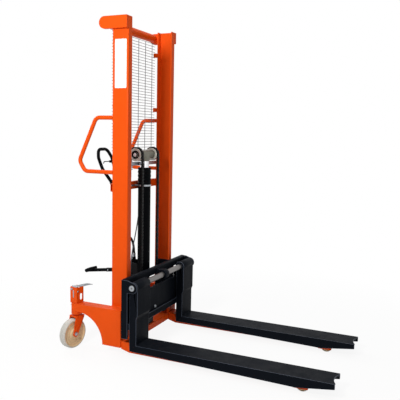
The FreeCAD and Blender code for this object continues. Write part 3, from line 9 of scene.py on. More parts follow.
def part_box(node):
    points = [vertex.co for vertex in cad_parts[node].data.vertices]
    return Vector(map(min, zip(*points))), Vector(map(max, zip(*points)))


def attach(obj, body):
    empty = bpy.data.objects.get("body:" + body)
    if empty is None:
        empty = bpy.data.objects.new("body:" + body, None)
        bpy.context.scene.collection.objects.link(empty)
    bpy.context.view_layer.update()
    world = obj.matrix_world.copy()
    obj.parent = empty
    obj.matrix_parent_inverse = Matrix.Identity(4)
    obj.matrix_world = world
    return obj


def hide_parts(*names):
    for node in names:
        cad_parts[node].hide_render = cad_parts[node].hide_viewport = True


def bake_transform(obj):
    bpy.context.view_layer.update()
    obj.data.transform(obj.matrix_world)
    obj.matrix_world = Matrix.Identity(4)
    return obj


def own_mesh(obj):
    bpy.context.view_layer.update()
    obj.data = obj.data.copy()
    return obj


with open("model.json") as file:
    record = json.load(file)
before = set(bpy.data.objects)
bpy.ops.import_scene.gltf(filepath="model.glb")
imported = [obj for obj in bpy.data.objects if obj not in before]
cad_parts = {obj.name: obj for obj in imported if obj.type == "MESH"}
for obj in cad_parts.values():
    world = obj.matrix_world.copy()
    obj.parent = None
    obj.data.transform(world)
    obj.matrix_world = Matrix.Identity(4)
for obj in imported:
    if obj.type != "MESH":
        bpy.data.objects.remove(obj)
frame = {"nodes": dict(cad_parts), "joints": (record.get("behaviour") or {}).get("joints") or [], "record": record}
nodes = frame["nodes"]
joints = {joint["name"]: joint for joint in frame["joints"]}
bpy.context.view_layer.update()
scene = bpy.context.scene
scene.view_settings.view_transform = "Standard"
hands = ("right", "left")  # right is the side near the photograph's camera
upward = Vector((0, 0, 1))
print("frame loaded:", len(nodes), "nodes")

# camera at the photograph's place
photoCamera = {
    "place": (1.324, -3.1667, 1.3195), "azimuth": 23.77, "pitch": 6.49, "roll": 1.2,
    "focalPixels": 568.8, "imagePixels": 400, "sensor": 36.0, "farClip": 100,
}


def addCamera(s):
    turn, pitch, roll = (math.radians(s[key]) for key in ("azimuth", "pitch", "roll"))
    ahead = Vector((-math.sin(turn) * math.cos(pitch), math.cos(turn) * math.cos(pitch), -math.sin(pitch)))
    level = Vector((math.cos(turn), math.sin(turn), 0))
    down = ahead.cross(level)
    right = level * math.cos(roll) - down * math.sin(roll)
    top = -(level * math.sin(roll) + down * math.cos(roll))
    data = bpy.data.cameras.new("photoCamera")
    data.sensor_fit = "HORIZONTAL"
    data.sensor_width = s["sensor"]
    data.lens = s["focalPixels"] / s["imagePixels"] * s["sensor"]
    data.clip_end = s["farClip"]
    camera = bpy.data.objects.new("photoCamera", data)
    scene.collection.objects.link(camera)
    turned = Matrix((right, top, -ahead)).transposed().to_4x4()
    camera.matrix_world = Matrix.Translation(s["place"]) @ turned
    scene.camera = camera


addCamera(photoCamera)


# shader helpers

def addNode(tree, kind, values=None, **settings):
    node = tree.nodes.new(kind)
    for key, setting in settings.items():
        setattr(node, key, setting)
    for key, number in (values or {}).items():
        node.inputs[key].default_value = number
    return node


# a plain number or colour is set on the socket itself, anything else is linked to it
def feed(tree, term, socket):
    if isinstance(term, (int, float, tuple)):
        socket.default_value = term
    else:
        tree.links.new(term, socket)


def newGroup(name, inputs, outputs):
    group = bpy.data.node_groups.new(name, "ShaderNodeTree")
    for label, kind, start in inputs:
        socket = group.interface.new_socket(label, in_out="INPUT", socket_type="NodeSocket" + kind)
        socket.default_value = start
    for label, kind in outputs:
        group.interface.new_socket(label, in_out="OUTPUT", socket_type="NodeSocket" + kind)
    return group, addNode(group, "NodeGroupInput").outputs, addNode(group, "NodeGroupOutput").inputs


def math2(tree, operation, first, second, clamp=False):
    node = addNode(tree, "ShaderNodeMath", operation=operation, use_clamp=clamp)
    feed(tree, first, node.inputs[0])
    feed(tree, second, node.inputs[1])
    return node.outputs[0]


def times(tree, first, second):
    return math2(tree, "MULTIPLY", first, second)


def plus(tree, first, second, clamp=False):
    return math2(tree, "ADD", first, second, clamp)


# how far a noise strays from its middle
def stray(tree, mask):
    return math2(tree, "SUBTRACT", mask, 0.5)


def ramp(tree, source, span, target=(0.0, 1.0)):
    node = addNode(tree, "ShaderNodeMapRange", clamp=True)
    feed(tree, source, node.inputs["Value"])
    for key, term in zip(("From Min", "From Max", "To Min", "To Max"), (*span, *target)):
        feed(tree, term, node.inputs[key])
    return node.outputs["Result"]


def noise(tree, where, scale, detail, rough):
    node = addNode(tree, "ShaderNodeTexNoise", {"Detail": detail, "Roughness": rough})
    feed(tree, where, node.inputs["Vector"])
    feed(tree, scale, node.inputs["Scale"])
    return node.outputs["Fac"]


def mixColor(tree, share, first, second):
    node = addNode(tree, "ShaderNodeMix", data_type="RGBA")
    for slot, term in ((0, share), (6, first), (7, second)):  # factor, then the two colours
        feed(tree, term, node.inputs[slot])
    return node.outputs[2]


# a colour made lighter or darker by a value around 1
def toned(tree, color, tone):
    hue = addNode(tree, "ShaderNodeHueSaturation")
    feed(tree, color, hue.inputs["Color"])
    feed(tree, tone, hue.inputs["Value"])
    return hue.outputs["Color"]


def objectPlace(tree):
    return addNode(tree, "ShaderNodeTexCoord").outputs["Object"]


def faceNormal(tree):
    return addNode(tree, "ShaderNodeNewGeometry").outputs["Normal"]


# each noise below is scale, detail and roughness, and each span is where a mask starts and ends

# edges: rounded normal and a mask that is 1 on the sharp edges, for the edge colour; that colour is worn paint,
# and on black paint also a painted highlight
edgeEffect = {"samples": 6, "turned": (0.995, 0.8), "chips": (55.0, 5.0, 0.7), "chipped": (0.42, 0.62)}


def makeEdgeGroup(s):
    group, given, made = newGroup(
        "edgeSoftening",
        [("Radius", "Float", 0.0015), ("Wear And Highlight", "Float", 0.5)],
        [("Normal", "Vector"), ("Edge", "Float")])
    bevel = addNode(group, "ShaderNodeBevel", samples=s["samples"])
    feed(group, given["Radius"], bevel.inputs["Radius"])
    dot = addNode(group, "ShaderNodeVectorMath", operation="DOT_PRODUCT")
    feed(group, bevel.outputs["Normal"], dot.inputs[0])
    feed(group, faceNormal(group), dot.inputs[1])
    turned = ramp(group, dot.outputs["Value"], s["turned"])
    chipped = ramp(group, noise(group, objectPlace(group), *s["chips"]), s["chipped"])
    feed(group, times(group, times(group, turned, chipped), given["Wear And Highlight"]), made["Edge"])
    feed(group, bevel.outputs["Normal"], made["Normal"])
    return group


# sprayed paint: slow drift of colour, fine peel, a little settled dust on upward faces
paintEffect = {
    "slow": (3.1, 4.0, 0.55), "patches": (21.0, 4.0, 0.6), "patchShare": 0.6,
    "level": (0.55, 0.95), "settled": (0.38, 0.7), "dustColor": (0.36, 0.33, 0.3, 1), "dustRough": 0.4,
    "smearStretch": (1, 1, 0.25), "smears": (14.0, 5.0, 0.65), "smeared": (0.3, 0.7),
    "peel": (420.0, 2.0, 0.5), "peelShare": 0.6, "wave": (95.0, 2.0, 0.5), "waveShare": 0.8,
    "bumpDepth": 0.0006,
}


def makePaintGroup(s):
    group, given, made = newGroup(
        "sprayedPaint",
        [("Color", "Color", (0.8, 0.1, 0.02, 1)), ("Edge Color", "Color", (0.3, 0.1, 0.05, 1)),
         ("Edge", "Float", 0.0), ("Drift", "Float", 0.1), ("Dust", "Float", 0.1),
         ("Rough Low", "Float", 0.3), ("Rough High", "Float", 0.45)],
        [("Color", "Color"), ("Roughness", "Float"), ("Height", "Float")])
    where = objectPlace(group)
    slow = noise(group, where, *s["slow"])
    patches = noise(group, where, *s["patches"])
    spread = times(group, stray(group, slow), given["Drift"])
    finer = times(group, stray(group, patches), times(group, given["Drift"], s["patchShare"]))
    color = toned(group, given["Color"], plus(group, plus(group, spread, finer), 1.0))
    facing = addNode(group, "ShaderNodeSeparateXYZ")
    feed(group, faceNormal(group), facing.inputs[0])
    settled = times(group, ramp(group, facing.outputs["Z"], s["level"]), ramp(group, patches, s["settled"]))
    dusty = times(group, settled, given["Dust"])
    color = mixColor(group, dusty, color, s["dustColor"])
    feed(group, mixColor(group, given["Edge"], color, given["Edge Color"]), made["Color"])
    streaks = addNode(group, "ShaderNodeMapping", {"Scale": s["smearStretch"]})
    feed(group, where, streaks.inputs["Vector"])
    smears = noise(group, streaks.outputs["Vector"], *s["smears"])
    smeared = ramp(group, smears, s["smeared"], (given["Rough Low"], given["Rough High"]))
    feed(group, plus(group, smeared, times(group, dusty, s["dustRough"]), clamp=True), made["Roughness"])
    peel = times(group, noise(group, where, *s["peel"]), s["peelShare"])
    wave = times(group, noise(group, where, *s["wave"]), s["waveShare"])
    feed(group, plus(group, peel, wave), made["Height"])
    return group


# rub marks: long thin scratches along one direction
scuffEffect = {"scale": 60.0, "detail": 6.0, "rough": 0.72, "scratched": (0.6, 0.72),
               "areas": (7.0, 3.0, 0.55), "rubbed": (0.45, 0.65)}


def makeScuffGroup(s):
    group, given, made = newGroup(
        "rubMarks",
        [("Stretch", "Vector", (1, 1, 1)), ("Scale", "Float", s["scale"]), ("Amount", "Float", 0.5)],
        [("Mask", "Float"), ("Height", "Float")])
    where = objectPlace(group)
    place = addNode(group, "ShaderNodeVectorMath", operation="MULTIPLY")
    feed(group, where, place.inputs[0])
    feed(group, given["Stretch"], place.inputs[1])
    lines = noise(group, place.outputs["Vector"], given["Scale"], s["detail"], s["rough"])
    rubbed = ramp(group, noise(group, where, *s["areas"]), s["rubbed"])
    mask = times(group, times(group, ramp(group, lines, s["scratched"]), rubbed), given["Amount"])
    feed(group, mask, made["Mask"])
    feed(group, times(group, mask, -1.0), made["Height"])
    return group


# grit of cast or shot-blasted metal
grainEffect = {"gritDetail": 4.0, "gritRough": 0.65, "cloud": (17.0, 4.0, 0.6), "clouded": (0.3, 0.7),
               "bumpDepth": 0.0005}


def makeGrainGroup(s):
    group, given, made = newGroup(
        "metalGrain",
        [("Color", "Color", (0.1, 0.1, 0.1, 1)), ("Scale", "Float", 300.0), ("Spread", "Float", 0.3),
         ("Rough Low", "Float", 0.4), ("Rough High", "Float", 0.7)],
        [("Color", "Color"), ("Roughness", "Float"), ("Height", "Float")])
    where = objectPlace(group)
    grit = noise(group, where, given["Scale"], s["gritDetail"], s["gritRough"])
    cloud = noise(group, where, *s["cloud"])
    tone = plus(group, times(group, stray(group, cloud), given["Spread"]), 1.0)
    feed(group, toned(group, given["Color"], tone), made["Color"])
    rough = ramp(group, cloud, s["clouded"], (given["Rough Low"], given["Rough High"]))
    feed(group, rough, made["Roughness"])
    feed(group, grit, made["Height"])
    return group


edgeGroup = makeEdgeGroup(edgeEffect)
paintGroup = makePaintGroup(paintEffect)
scuffGroup = makeScuffGroup(scuffEffect)
grainGroup = makeGrainGroup(grainEffect)
print("shader groups ready")


def placeGroup(tree, group, values):
    return addNode(tree, "ShaderNodeGroup", values, node_tree=group)


def newMaterial(name, constants):
    material = bpy.data.materials.new(name)
    material.use_nodes = True
    tree = material.node_tree
    shader = tree.nodes["Principled BSDF"]
    for key, number in constants.items():
        shader.inputs[key].default_value = number
    return material, tree, shader


def bumpFrom(tree, shader, height, strength, depth, base):
    bump = addNode(tree, "ShaderNodeBump", {"Strength": strength, "Distance": depth})
    feed(tree, height, bump.inputs["Height"])
    feed(tree, base, bump.inputs["Normal"])
    feed(tree, bump.outputs["Normal"], shader.inputs["Normal"])


def paintedSteel(name, s):
    material, tree, shader = newMaterial(name, {"Specular IOR Level": s["specular"]})
    edge = placeGroup(tree, edgeGroup, {"Radius": s["edgeRadius"], "Wear And Highlight": s["wearAndHighlight"]})
    paint = placeGroup(tree, paintGroup, {
        "Color": (*s["color"], 1), "Edge Color": (*s["edgeColor"], 1), "Drift": s["drift"],
        "Dust": s["dust"], "Rough Low": s["rough"][0], "Rough High": s["rough"][1]})
    feed(tree, edge.outputs["Edge"], paint.inputs["Edge"])
    color, height = paint.outputs["Color"], paint.outputs["Height"]
    if "scuff" in s:
        scuff = placeGroup(tree, scuffGroup, {
            "Stretch": s["scuffStretch"], "Scale": scuffEffect["scale"], "Amount": s["scuff"]})
        color = mixColor(tree, scuff.outputs["Mask"], color, (*s["scuffColor"], 1))
        height = plus(tree, height, scuff.outputs["Height"])
    feed(tree, color, shader.inputs["Base Color"])
    feed(tree, paint.outputs["Roughness"], shader.inputs["Roughness"])
    bumpFrom(tree, shader, height, s["peel"], paintEffect["bumpDepth"], edge.outputs["Normal"])
    return material


# what a metal has unless its row below says otherwise
plainMetal = {"metallic": 1.0, "specular": 0.3, "edgeRadius": 0.001, "wearAndHighlight": 0.3}


def bareMetal(name, row):
    s = {**plainMetal, **row}
    material, tree, shader = newMaterial(
        name, {"Metallic": s["metallic"], "Specular IOR Level": s["specular"]})
    edge = placeGroup(tree, edgeGroup, {"Radius": s["edgeRadius"], "Wear And Highlight": s["wearAndHighlight"]})
    grain = placeGroup(tree, grainGroup, {
        "Color": (*s["color"], 1), "Scale": s["scale"], "Spread": s["spread"],
        "Rough Low": s["rough"][0], "Rough High": s["rough"][1]})
    color = mixColor(tree, edge.outputs["Edge"], grain.outputs["Color"], (*s["edgeColor"], 1))
    feed(tree, color, shader.inputs["Base Color"])
    feed(tree, grain.outputs["Roughness"], shader.inputs["Roughness"])
    bumpFrom(tree, shader, grain.outputs["Height"], s["bump"], grainEffect["bumpDepth"], edge.outputs["Normal"])
    return material


paints = {
    "orangePaint": {
        "color": (0.76, 0.08, 0.004), "edgeColor": (0.84, 0.15, 0.02), "edgeRadius": 0.0035, "wearAndHighlight": 0.3,
        "drift": 0.14, "dust": 0.05, "rough": (0.36, 0.5), "peel": 0.12, "specular": 0.08,
    },
    "blackPaint": {
        # light blue gray edge colour: partly worn paint, partly a painted highlight along the edges
        "color": (0.0038, 0.0052, 0.0082), "edgeColor": (0.045, 0.055, 0.078), "edgeRadius": 0.003,
        "wearAndHighlight": 0.6, "drift": 0.5, "dust": 0.012, "rough": (0.42, 0.58), "peel": 0.14, "specular": 0.03,
        "scuff": 0.3, "scuffStretch": (0.05, 1.6, 1.6), "scuffColor": (0.02, 0.022, 0.025),
    },
    # lighter blue gray for the bevel faces of black nodes: partly rubbed paint, partly a painted highlight along
    # the edges
    "wornEdgeHighlight": {
        "color": (0.042, 0.053, 0.078), "edgeColor": (0.07, 0.085, 0.12), "edgeRadius": 0.002, "wearAndHighlight": 0.4,
        "drift": 0.6, "dust": 0.02, "rough": (0.3, 0.45), "peel": 0.1, "specular": 0.25,
    },
    "cylinderBlack": {
        "color": (0.0035, 0.004, 0.0052), "edgeColor": (0.03, 0.032, 0.036), "edgeRadius": 0.002,
        "wearAndHighlight": 0.3, "drift": 0.4, "dust": 0.01, "rough": (0.3, 0.44), "peel": 0.08, "specular": 0.02,
    },
    "wheelNylon": {
        "color": (0.66, 0.52, 0.31), "edgeColor": (0.74, 0.66, 0.52), "edgeRadius": 0.002, "wearAndHighlight": 0.4,
        "drift": 0.55, "dust": 0.05, "rough": (0.38, 0.55), "peel": 0.12, "specular": 0.15,
        "scuff": 0.4, "scuffStretch": (1.0, 1.0, 1.0), "scuffColor": (0.46, 0.33, 0.16),
    },
    "paleTread": {
        "color": (0.54, 0.535, 0.5), "edgeColor": (0.62, 0.62, 0.6), "edgeRadius": 0.002, "wearAndHighlight": 0.3,
        "drift": 0.2, "dust": 0.05, "rough": (0.4, 0.56), "peel": 0.1, "specular": 0.15,
        "scuff": 0.4, "scuffStretch": (1.0, 1.0, 1.0), "scuffColor": (0.36, 0.34, 0.3),
    },
    "hoseRubber": {
        "color": (0.007, 0.007, 0.0075), "edgeColor": (0.02, 0.02, 0.02), "edgeRadius": 0.001, "wearAndHighlight": 0.2,
        "drift": 0.4, "dust": 0.03, "rough": (0.5, 0.7), "peel": 0.1, "specular": 0.12,
    },
    "returnLine": {
        "color": (0.1, 0.115, 0.14), "edgeColor": (0.16, 0.17, 0.2), "edgeRadius": 0.0006, "wearAndHighlight": 0.1,
        "drift": 0.3, "dust": 0.04, "rough": (0.34, 0.48), "peel": 0.05, "specular": 0.35,
    },
    "blankVinyl": {
        "color": (0.86, 0.86, 0.85), "edgeColor": (0.7, 0.7, 0.68), "edgeRadius": 0.0006, "wearAndHighlight": 0.2,
        "drift": 0.03, "dust": 0.04, "rough": (0.28, 0.4), "peel": 0.04, "specular": 0.4,
    },
}
metals = {
    "castIron": {
        "color": (0.008, 0.0085, 0.01), "edgeColor": (0.05, 0.05, 0.05), "edgeRadius": 0.003,
        "scale": 260.0, "spread": 0.5, "rough": (0.45, 0.68), "bump": 0.4, "metallic": 0.3,
    },
    "castGray": {
        "color": (0.2, 0.195, 0.16), "edgeColor": (0.36, 0.35, 0.31), "edgeRadius": 0.002, "wearAndHighlight": 0.5,
        "scale": 210.0, "spread": 0.7, "rough": (0.42, 0.62), "bump": 0.55, "metallic": 0.6,
    },
    "chromeRod": {
        "color": (0.78, 0.78, 0.8), "edgeColor": (0.8, 0.8, 0.8),
        "scale": 500.0, "spread": 0.06, "rough": (0.05, 0.12), "bump": 0.02,
    },
    "turnedSteel": {
        "color": (0.19, 0.18, 0.175), "edgeColor": (0.4, 0.4, 0.4),
        "scale": 420.0, "spread": 0.5, "rough": (0.28, 0.5), "bump": 0.12,
    },
    "zincPlate": {
        "color": (0.37, 0.395, 0.42), "edgeColor": (0.5, 0.53, 0.56),
        "scale": 200.0, "spread": 0.4, "rough": (0.26, 0.45), "bump": 0.1,
    },
    # near white and barely metallic, so the pin ends look bright under any light: a painted highlight in place of
    # the steel's shine
    "paleSteel": {
        "color": (0.93, 0.94, 0.95), "edgeColor": (0.95, 0.95, 0.96),
        "scale": 320.0, "spread": 0.1, "rough": (0.3, 0.45), "bump": 0.06, "metallic": 0.1,
    },
    "oiledChain": {
        "color": (0.008, 0.008, 0.0085), "edgeColor": (0.03, 0.03, 0.029), "edgeRadius": 0.0006,
        "scale": 380.0, "spread": 0.6, "rough": (0.34, 0.54), "bump": 0.15, "metallic": 0.8,
    },
    "pulleySteel": {
        "color": (0.62, 0.6, 0.54), "edgeColor": (0.74, 0.73, 0.7),
        "scale": 240.0, "spread": 0.35, "rough": (0.3, 0.48), "bump": 0.1, "metallic": 0.3,
    },
    "guardWire": {
        "color": (0.13, 0.13, 0.135), "edgeColor": (0.3, 0.3, 0.3), "edgeRadius": 0.0005,
        "scale": 300.0, "spread": 0.5, "rough": (0.35, 0.55), "bump": 0.05, "metallic": 0.7,
    },
}
finishes = {name: paintedSteel(name, row) for name, row in paints.items()}
finishes.update({name: bareMetal(name, row) for name, row in metals.items()})

# finish of each material slot of the CAD nodes
slotFinishes = {
    "frame_paint": "orangePaint", "carriage_paint": "blackPaint", "cylinder_paint": "cylinderBlack",
    "pump_casting": "castIron", "guard_wire": "guardWire", "chrome_rod": "chromeRod",
    "bright_steel": "turnedSteel", "zinc_plate": "zincPlate", "chain_steel": "oiledChain",
    "roller_steel": "pulleySteel", "wheel_nylon": "wheelNylon", "hose_rubber": "hoseRubber",
    "return_line": "returnLine",
}


def finishNodes(s):
    for part in frame["record"]["subparts"]:
        mesh = nodes[part["node"]].data
        mesh.materials.clear()
        mesh.materials.append(finishes[s[part["material_slot"]]])
    nodes["crosshead"].data.materials[0] = finishes["castGray"]


finishNodes(slotFinishes)


def addBevel(piece, width, segments=2, angle=35, harden=False):
    bevel = piece.modifiers.new("softEdges", "BEVEL")
    bevel.width = width
    bevel.segments = segments
    bevel.limit_method = "ANGLE"
    bevel.angle_limit = math.radians(angle)
    bevel.harden_normals = harden
    return bevel


# rolled and ground edges of the plain cut nodes: nodes by width of their softening, in metres
edgeLook = {
    "merge": 0.00002, "segments": 2, "angle": 50,
    "widths": {
        0.0045: ["fork_right", "fork_left"],
        0.003: ["mast_right", "mast_left", "upper_cross_beam", "base_cross_beam"],
        0.0022: ["leg_right", "leg_left", "base_side_right", "base_side_left", "mast_caps", "carriage_top_bar",
                 "carriage_cross_plate", "carriage_end_plates", "carriage_lower_bar"],
        0.0012: ["carriage_roller_plates", "brake_bracket_right", "brake_bracket_left", "caster_yoke_right",
                 "caster_yoke_left", "pump_block", "mesh_brackets", "foot_pedal", "chain_anchor_bar",
                 "crosshead"],
    },
}


def softenNodes(s):
    for width, names in s["widths"].items():
        for name in names:
            weld = nodes[name].modifiers.new("joinedEdges", "WELD")
            weld.merge_threshold = s["merge"]
            bevel = addBevel(nodes[name], width, s["segments"], s["angle"], harden=True)
            nodeFinishes = nodes[name].data.materials
            if nodeFinishes[0] == finishes["blackPaint"]:  # a lighter blue gray along its bevelled edges: partly rubbed paint, partly a painted highlight
                nodeFinishes.append(finishes["wornEdgeHighlight"])
                bevel.material = 1


softenNodes(edgeLook)
print("materials on", len(nodes), "nodes")

# mesh helpers
onAxis = 1e-7  # radius of a point on the axis of a turned shape


class Builder:
    def __init__(self):
        self.verts, self.faces, self.marks = [], [], []

    # marks give each face its place in the piece's list of finishes
    def add(self, verts, faces, marks=None):
        start = len(self.verts)
        self.verts += [Vector(vert) for vert in verts]
        self.faces += [tuple(start + corner for corner in face) for face in faces]
        self.marks += marks or [0] * len(faces)

    def mesh(self, name, finishNames, sharp):
        mesh = bpy.data.meshes.new(name)
        mesh.from_pydata([tuple(vert) for vert in self.verts], [], self.faces)
        mesh.polygons.foreach_set("use_smooth", [True] * len(mesh.polygons))
        mesh.set_sharp_from_angle(angle=math.radians(sharp))
        for finishName in finishNames:
            mesh.materials.append(finishes[finishName])
        mesh.polygons.foreach_set("material_index", self.marks)
        mesh.validate()
        return mesh


def placePiece(name, data, body, replaced=()):
    piece = bpy.data.objects.new(name, data)
    scene.collection.objects.link(piece)
    if body:
        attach(piece, body)
    if replaced:
        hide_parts(*replaced)
    return piece


def addPiece(name, build, finishNames, body, replaced=(), sharp=35):
    return placePiece(name, build.mesh(name, finishNames, sharp), body, replaced)


# an axis of length 1 and the directions of evenly spread spokes round it
def spokesRound(axis, count):
    axis = Vector(axis).normalized()
    side = axis.orthogonal().normalized()
    other = axis.cross(side)
    turns = [2 * math.pi * step / count for step in range(count)]
    return axis, [side * math.cos(turn) + other * math.sin(turn) for turn in turns]


def ring(centre, axis, radius, count):
    return [Vector(centre) + spoke * radius for spoke in spokesRound(axis, count)[1]]


# four-cornered faces between two rings of points
def bridge(here, there, count):
    return [(here + k, here + (k + 1) % count, there + (k + 1) % count, there + k) for k in range(count)]


# turns a closed outline of (radius, along) or (radius, along, mark) round an axis
def lathe(build, outline, at, axis, segments):
    axis, spokes = spokesRound(axis, segments)
    at = Vector(at)
    count = len(outline)
    verts = [at + spoke * point[0] + axis * point[1] for spoke in spokes for point in outline]
    faces, marks = [], []
    for index, point in enumerate(outline):
        nextIndex = (index + 1) % count
        if point[0] <= onAxis and outline[nextIndex][0] <= onAxis:
            continue
        for step in range(segments):
            here, there = step * count, (step + 1) % segments * count
            faces.append((here + index, here + nextIndex, there + nextIndex, there + index))
            marks.append(point[2] if len(point) > 2 else 0)
    build.add(verts, faces, marks)


# solid round bar, centred on its place
def roundBar(build, at, axis, radius, half, segments):
    lathe(build, [(onAxis, -half), (radius, -half), (radius, half), (onAxis, half)], at, axis, segments)


# one side of a wheel's outline, then its mirror image for the other side
def bothSides(faceSide):
    marks = [mark for _, _, mark in reversed(faceSide)][1:] + [0]
    return faceSide + [(r, -a, mark) for (r, a, _), mark in zip(reversed(faceSide), marks)]


# quarter round from the side of a wheel onto its rolling face
def roundOver(edge, half, radius, steps):
    turns = [math.radians(90 * step / steps) for step in range(1, steps + 1)]
    return [(edge + radius * math.sin(turn), half - radius * (1 - math.cos(turn)), 0) for turn in turns]


# tube along a line of points; radii may change from point to point
def sweep(build, points, radii, sides, closed=False):
    points = [Vector(point) for point in points]
    if isinstance(radii, (int, float)):
        radii = [radii] * len(points)
    normal = None
    verts, faces = [], []
    last = len(points) - 1
    for index, point in enumerate(points):
        before = points[index - 1] if index or closed else point
        after = points[(index + 1) % len(points)] if index < last or closed else point
        tangent = (after - before).normalized()
        if normal is None:
            normal = tangent.orthogonal().normalized()
        normal = (normal - tangent * normal.dot(tangent)).normalized()
        side = tangent.cross(normal)
        for step in range(sides):
            angle = 2 * math.pi * step / sides
            verts.append(point + (normal * math.cos(angle) + side * math.sin(angle)) * radii[index])
    for index in range(len(points) if closed else last):
        faces += bridge(index * sides, (index + 1) % len(points) * sides, sides)
    if not closed:
        faces += [tuple(reversed(range(sides))), tuple(range(last * sides, last * sides + sides))]
    build.add(verts, faces)


# flat outline pushed along a direction
def extrude(build, outline, push):
    count = len(outline)
    low = [Vector(point) for point in outline]
    high = [point + Vector(push) for point in low]
    caps = [tuple(reversed(range(count))), tuple(range(count, 2 * count))]
    build.add(low + high, caps + bridge(0, count, count))


# rod with a rolled thread, as stacked ridges
threadLook = {"pitch": 0.00175, "rootShare": 0.9, "endShare": 0.86, "segments": 20}


def threadedRod(build, at, axis, radius, length):
    s = threadLook
    outline = [(onAxis, 0)]
    turns = max(1, int(length / s["pitch"]))
    step = length / turns
    for turn in range(turns):
        outline += [(radius * s["rootShare"], turn * step), (radius, (turn + 0.5) * step)]
    outline += [(radius * s["endShare"], length), (onAxis, length)]
    lathe(build, outline, at, axis, s["segments"])


# hexagon head or nut, on a washer and with a thread end where asked
hexLook = {"chamfer": 0.12, "topShare": 0.88, "washerShare": 1.28, "washerThick": 0.0016, "washerWall": 0.8,
           "washerSoft": 0.3, "washerSegments": 28}


def hexHead(build, at, axis, radius, height, washer=True, tip=0.0, tipRadius=0.0):
    s = hexLook
    axis, spokes = spokesRound(axis, 6)
    at = Vector(at)
    if washer:
        wide, thick = radius * s["washerShare"], s["washerThick"]
        outline = [(onAxis, 0), (wide, 0), (wide, thick * s["washerWall"]),
                   (wide - thick * s["washerSoft"], thick), (onAxis, thick)]
        lathe(build, outline, at, axis, s["washerSegments"])
        at = at + axis * thick
    levels = ((0, 1.0), (height * (1 - s["chamfer"]), 1.0), (height, s["topShare"]))
    verts = [at + spoke * radius * share + axis * along for along, share in levels for spoke in spokes]
    caps = [tuple(reversed(range(6))), tuple(range(12, 18))]
    build.add(verts, bridge(0, 6, 6) + bridge(6, 12, 6) + caps)
    if tip:
        threadedRod(build, at + axis * height * 0.5, axis, tipRadius, height * 0.5 + tip)


# welding bead: a low rounded ridge with the ripples of each puddle
weldLook = {"ripple": 0.0042, "swell": 0.16, "step": 0.0014, "sides": 8, "endShare": 0.6}


def weldBead(build, corners, radius, closed=False):
    s = weldLook
    corners = [Vector(corner) for corner in corners]
    if closed:
        corners = corners + corners[:1]
    points, radii, gone = [], [], 0.0
    for first, second in zip(corners, corners[1:]):
        run = (second - first).length
        steps = max(2, int(run / s["step"]))
        for step in range(steps):
            share = step / steps
            points.append(first.lerp(second, share))
            phase = (gone + run * share) / s["ripple"]
            radii.append(radius * (1 + s["swell"] * (abs(math.sin(math.pi * phase)) - 0.5)))
        gone += run
    if not closed:
        points.append(corners[-1])
        radii.append(radius * s["endShare"])
        radii[0] = radius * s["endShare"]
    sweep(build, points, radii, s["sides"], closed)


print("mesh helpers ready")

# welded wire guard behind the masts: uprights in front, rungs with free ends behind them
guardLook = {"columns": 6, "pitch": 0.018, "uprightRadius": 0.002, "rungRadius": 0.0015, "layer": 0.0011,
             "wander": 0.0005, "seed": 4, "sides": 8}


def buildGuard(s):
    low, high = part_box("mesh_guard")
    rng = np.random.default_rng(s["seed"])
    build = Builder()
    middle = (low.x + high.x) / 2
    step = (high.y - low.y) / s["columns"]
    ys = low.y + step * (np.arange(s["columns"]) + 0.5)
    rows = round((high.z - low.z) / s["pitch"])
    zs = np.linspace(low.z + s["rungRadius"], high.z - s["rungRadius"], rows + 1)
    for y in ys:
        drift = rng.uniform(-s["wander"], s["wander"], len(zs))
        points = [(middle + s["layer"], y + drift[k], z) for k, z in enumerate(zs)]
        sweep(build, points, s["uprightRadius"], s["sides"])
    for z in zs:
        spots = np.linspace(low.y, high.y, 2 * len(ys) + 1)
        drift = rng.uniform(-s["wander"], s["wander"], len(spots))
        points = [(middle - s["layer"], y, min(max(z + drift[k], zs[0]), zs[-1])) for k, y in enumerate(spots)]
        sweep(build, points, s["rungRadius"], s["sides"])
    addPiece("wireGuard", build, ["guardWire"], "chassis", ["mesh_guard"], sharp=50)


buildGuard(guardLook)
print("guard built")

# leaf chains: stacked waisted plates on riveted pins, with the plates of every other link in other rows
chainLook = {"pitch": 0.01905, "endRadius": 0.0058, "endAngles": (75, 120, 165, 195, 240, 285), "waist": 0.0041,
             "plate": 0.00235, "row": 0.00248, "rows": 8, "linkRows": ((0, 3, 4, 7), (1, 2, 5, 6)),
             "pinRadius": 0.0027, "pinProud": 0.0007, "pinSides": 8, "tightLinks": 42}
chainAcross = Vector((0, 1, 0))


def chainPlate(build, first, second, outward, shift, s):
    along = (second - first).normalized()
    length = (second - first).length
    outline = []
    for pin, turned, way in ((first, 0, -1), (second, 180, 1)):
        for angle in s["endAngles"]:
            turn = math.radians(angle + turned)
            reach = s["endRadius"]
            outline.append(pin + along * reach * math.cos(turn) + outward * reach * math.sin(turn))
        outline.append(first + along * length / 2 + outward * s["waist"] * way)
    low = chainAcross * (shift - s["plate"] / 2)
    extrude(build, [point + low for point in outline], chainAcross * s["plate"])


def chainRun(build, pins, outwards, sideways, s):
    aside = chainAcross * sideways
    for index, (first, second) in enumerate(zip(pins, pins[1:])):
        outward = (outwards[index] + outwards[index + 1]).normalized()
        for place in s["linkRows"][index % 2]:
            shift = (place - (s["rows"] - 1) / 2) * s["row"]
            chainPlate(build, first + aside, second + aside, outward, shift, s)
    half = s["rows"] / 2 * s["row"] + s["pinProud"]
    for pin in pins:
        end = pin + chainAcross * (sideways - half)
        extrude(build, ring(end, chainAcross, s["pinRadius"], s["pinSides"]), chainAcross * 2 * half)


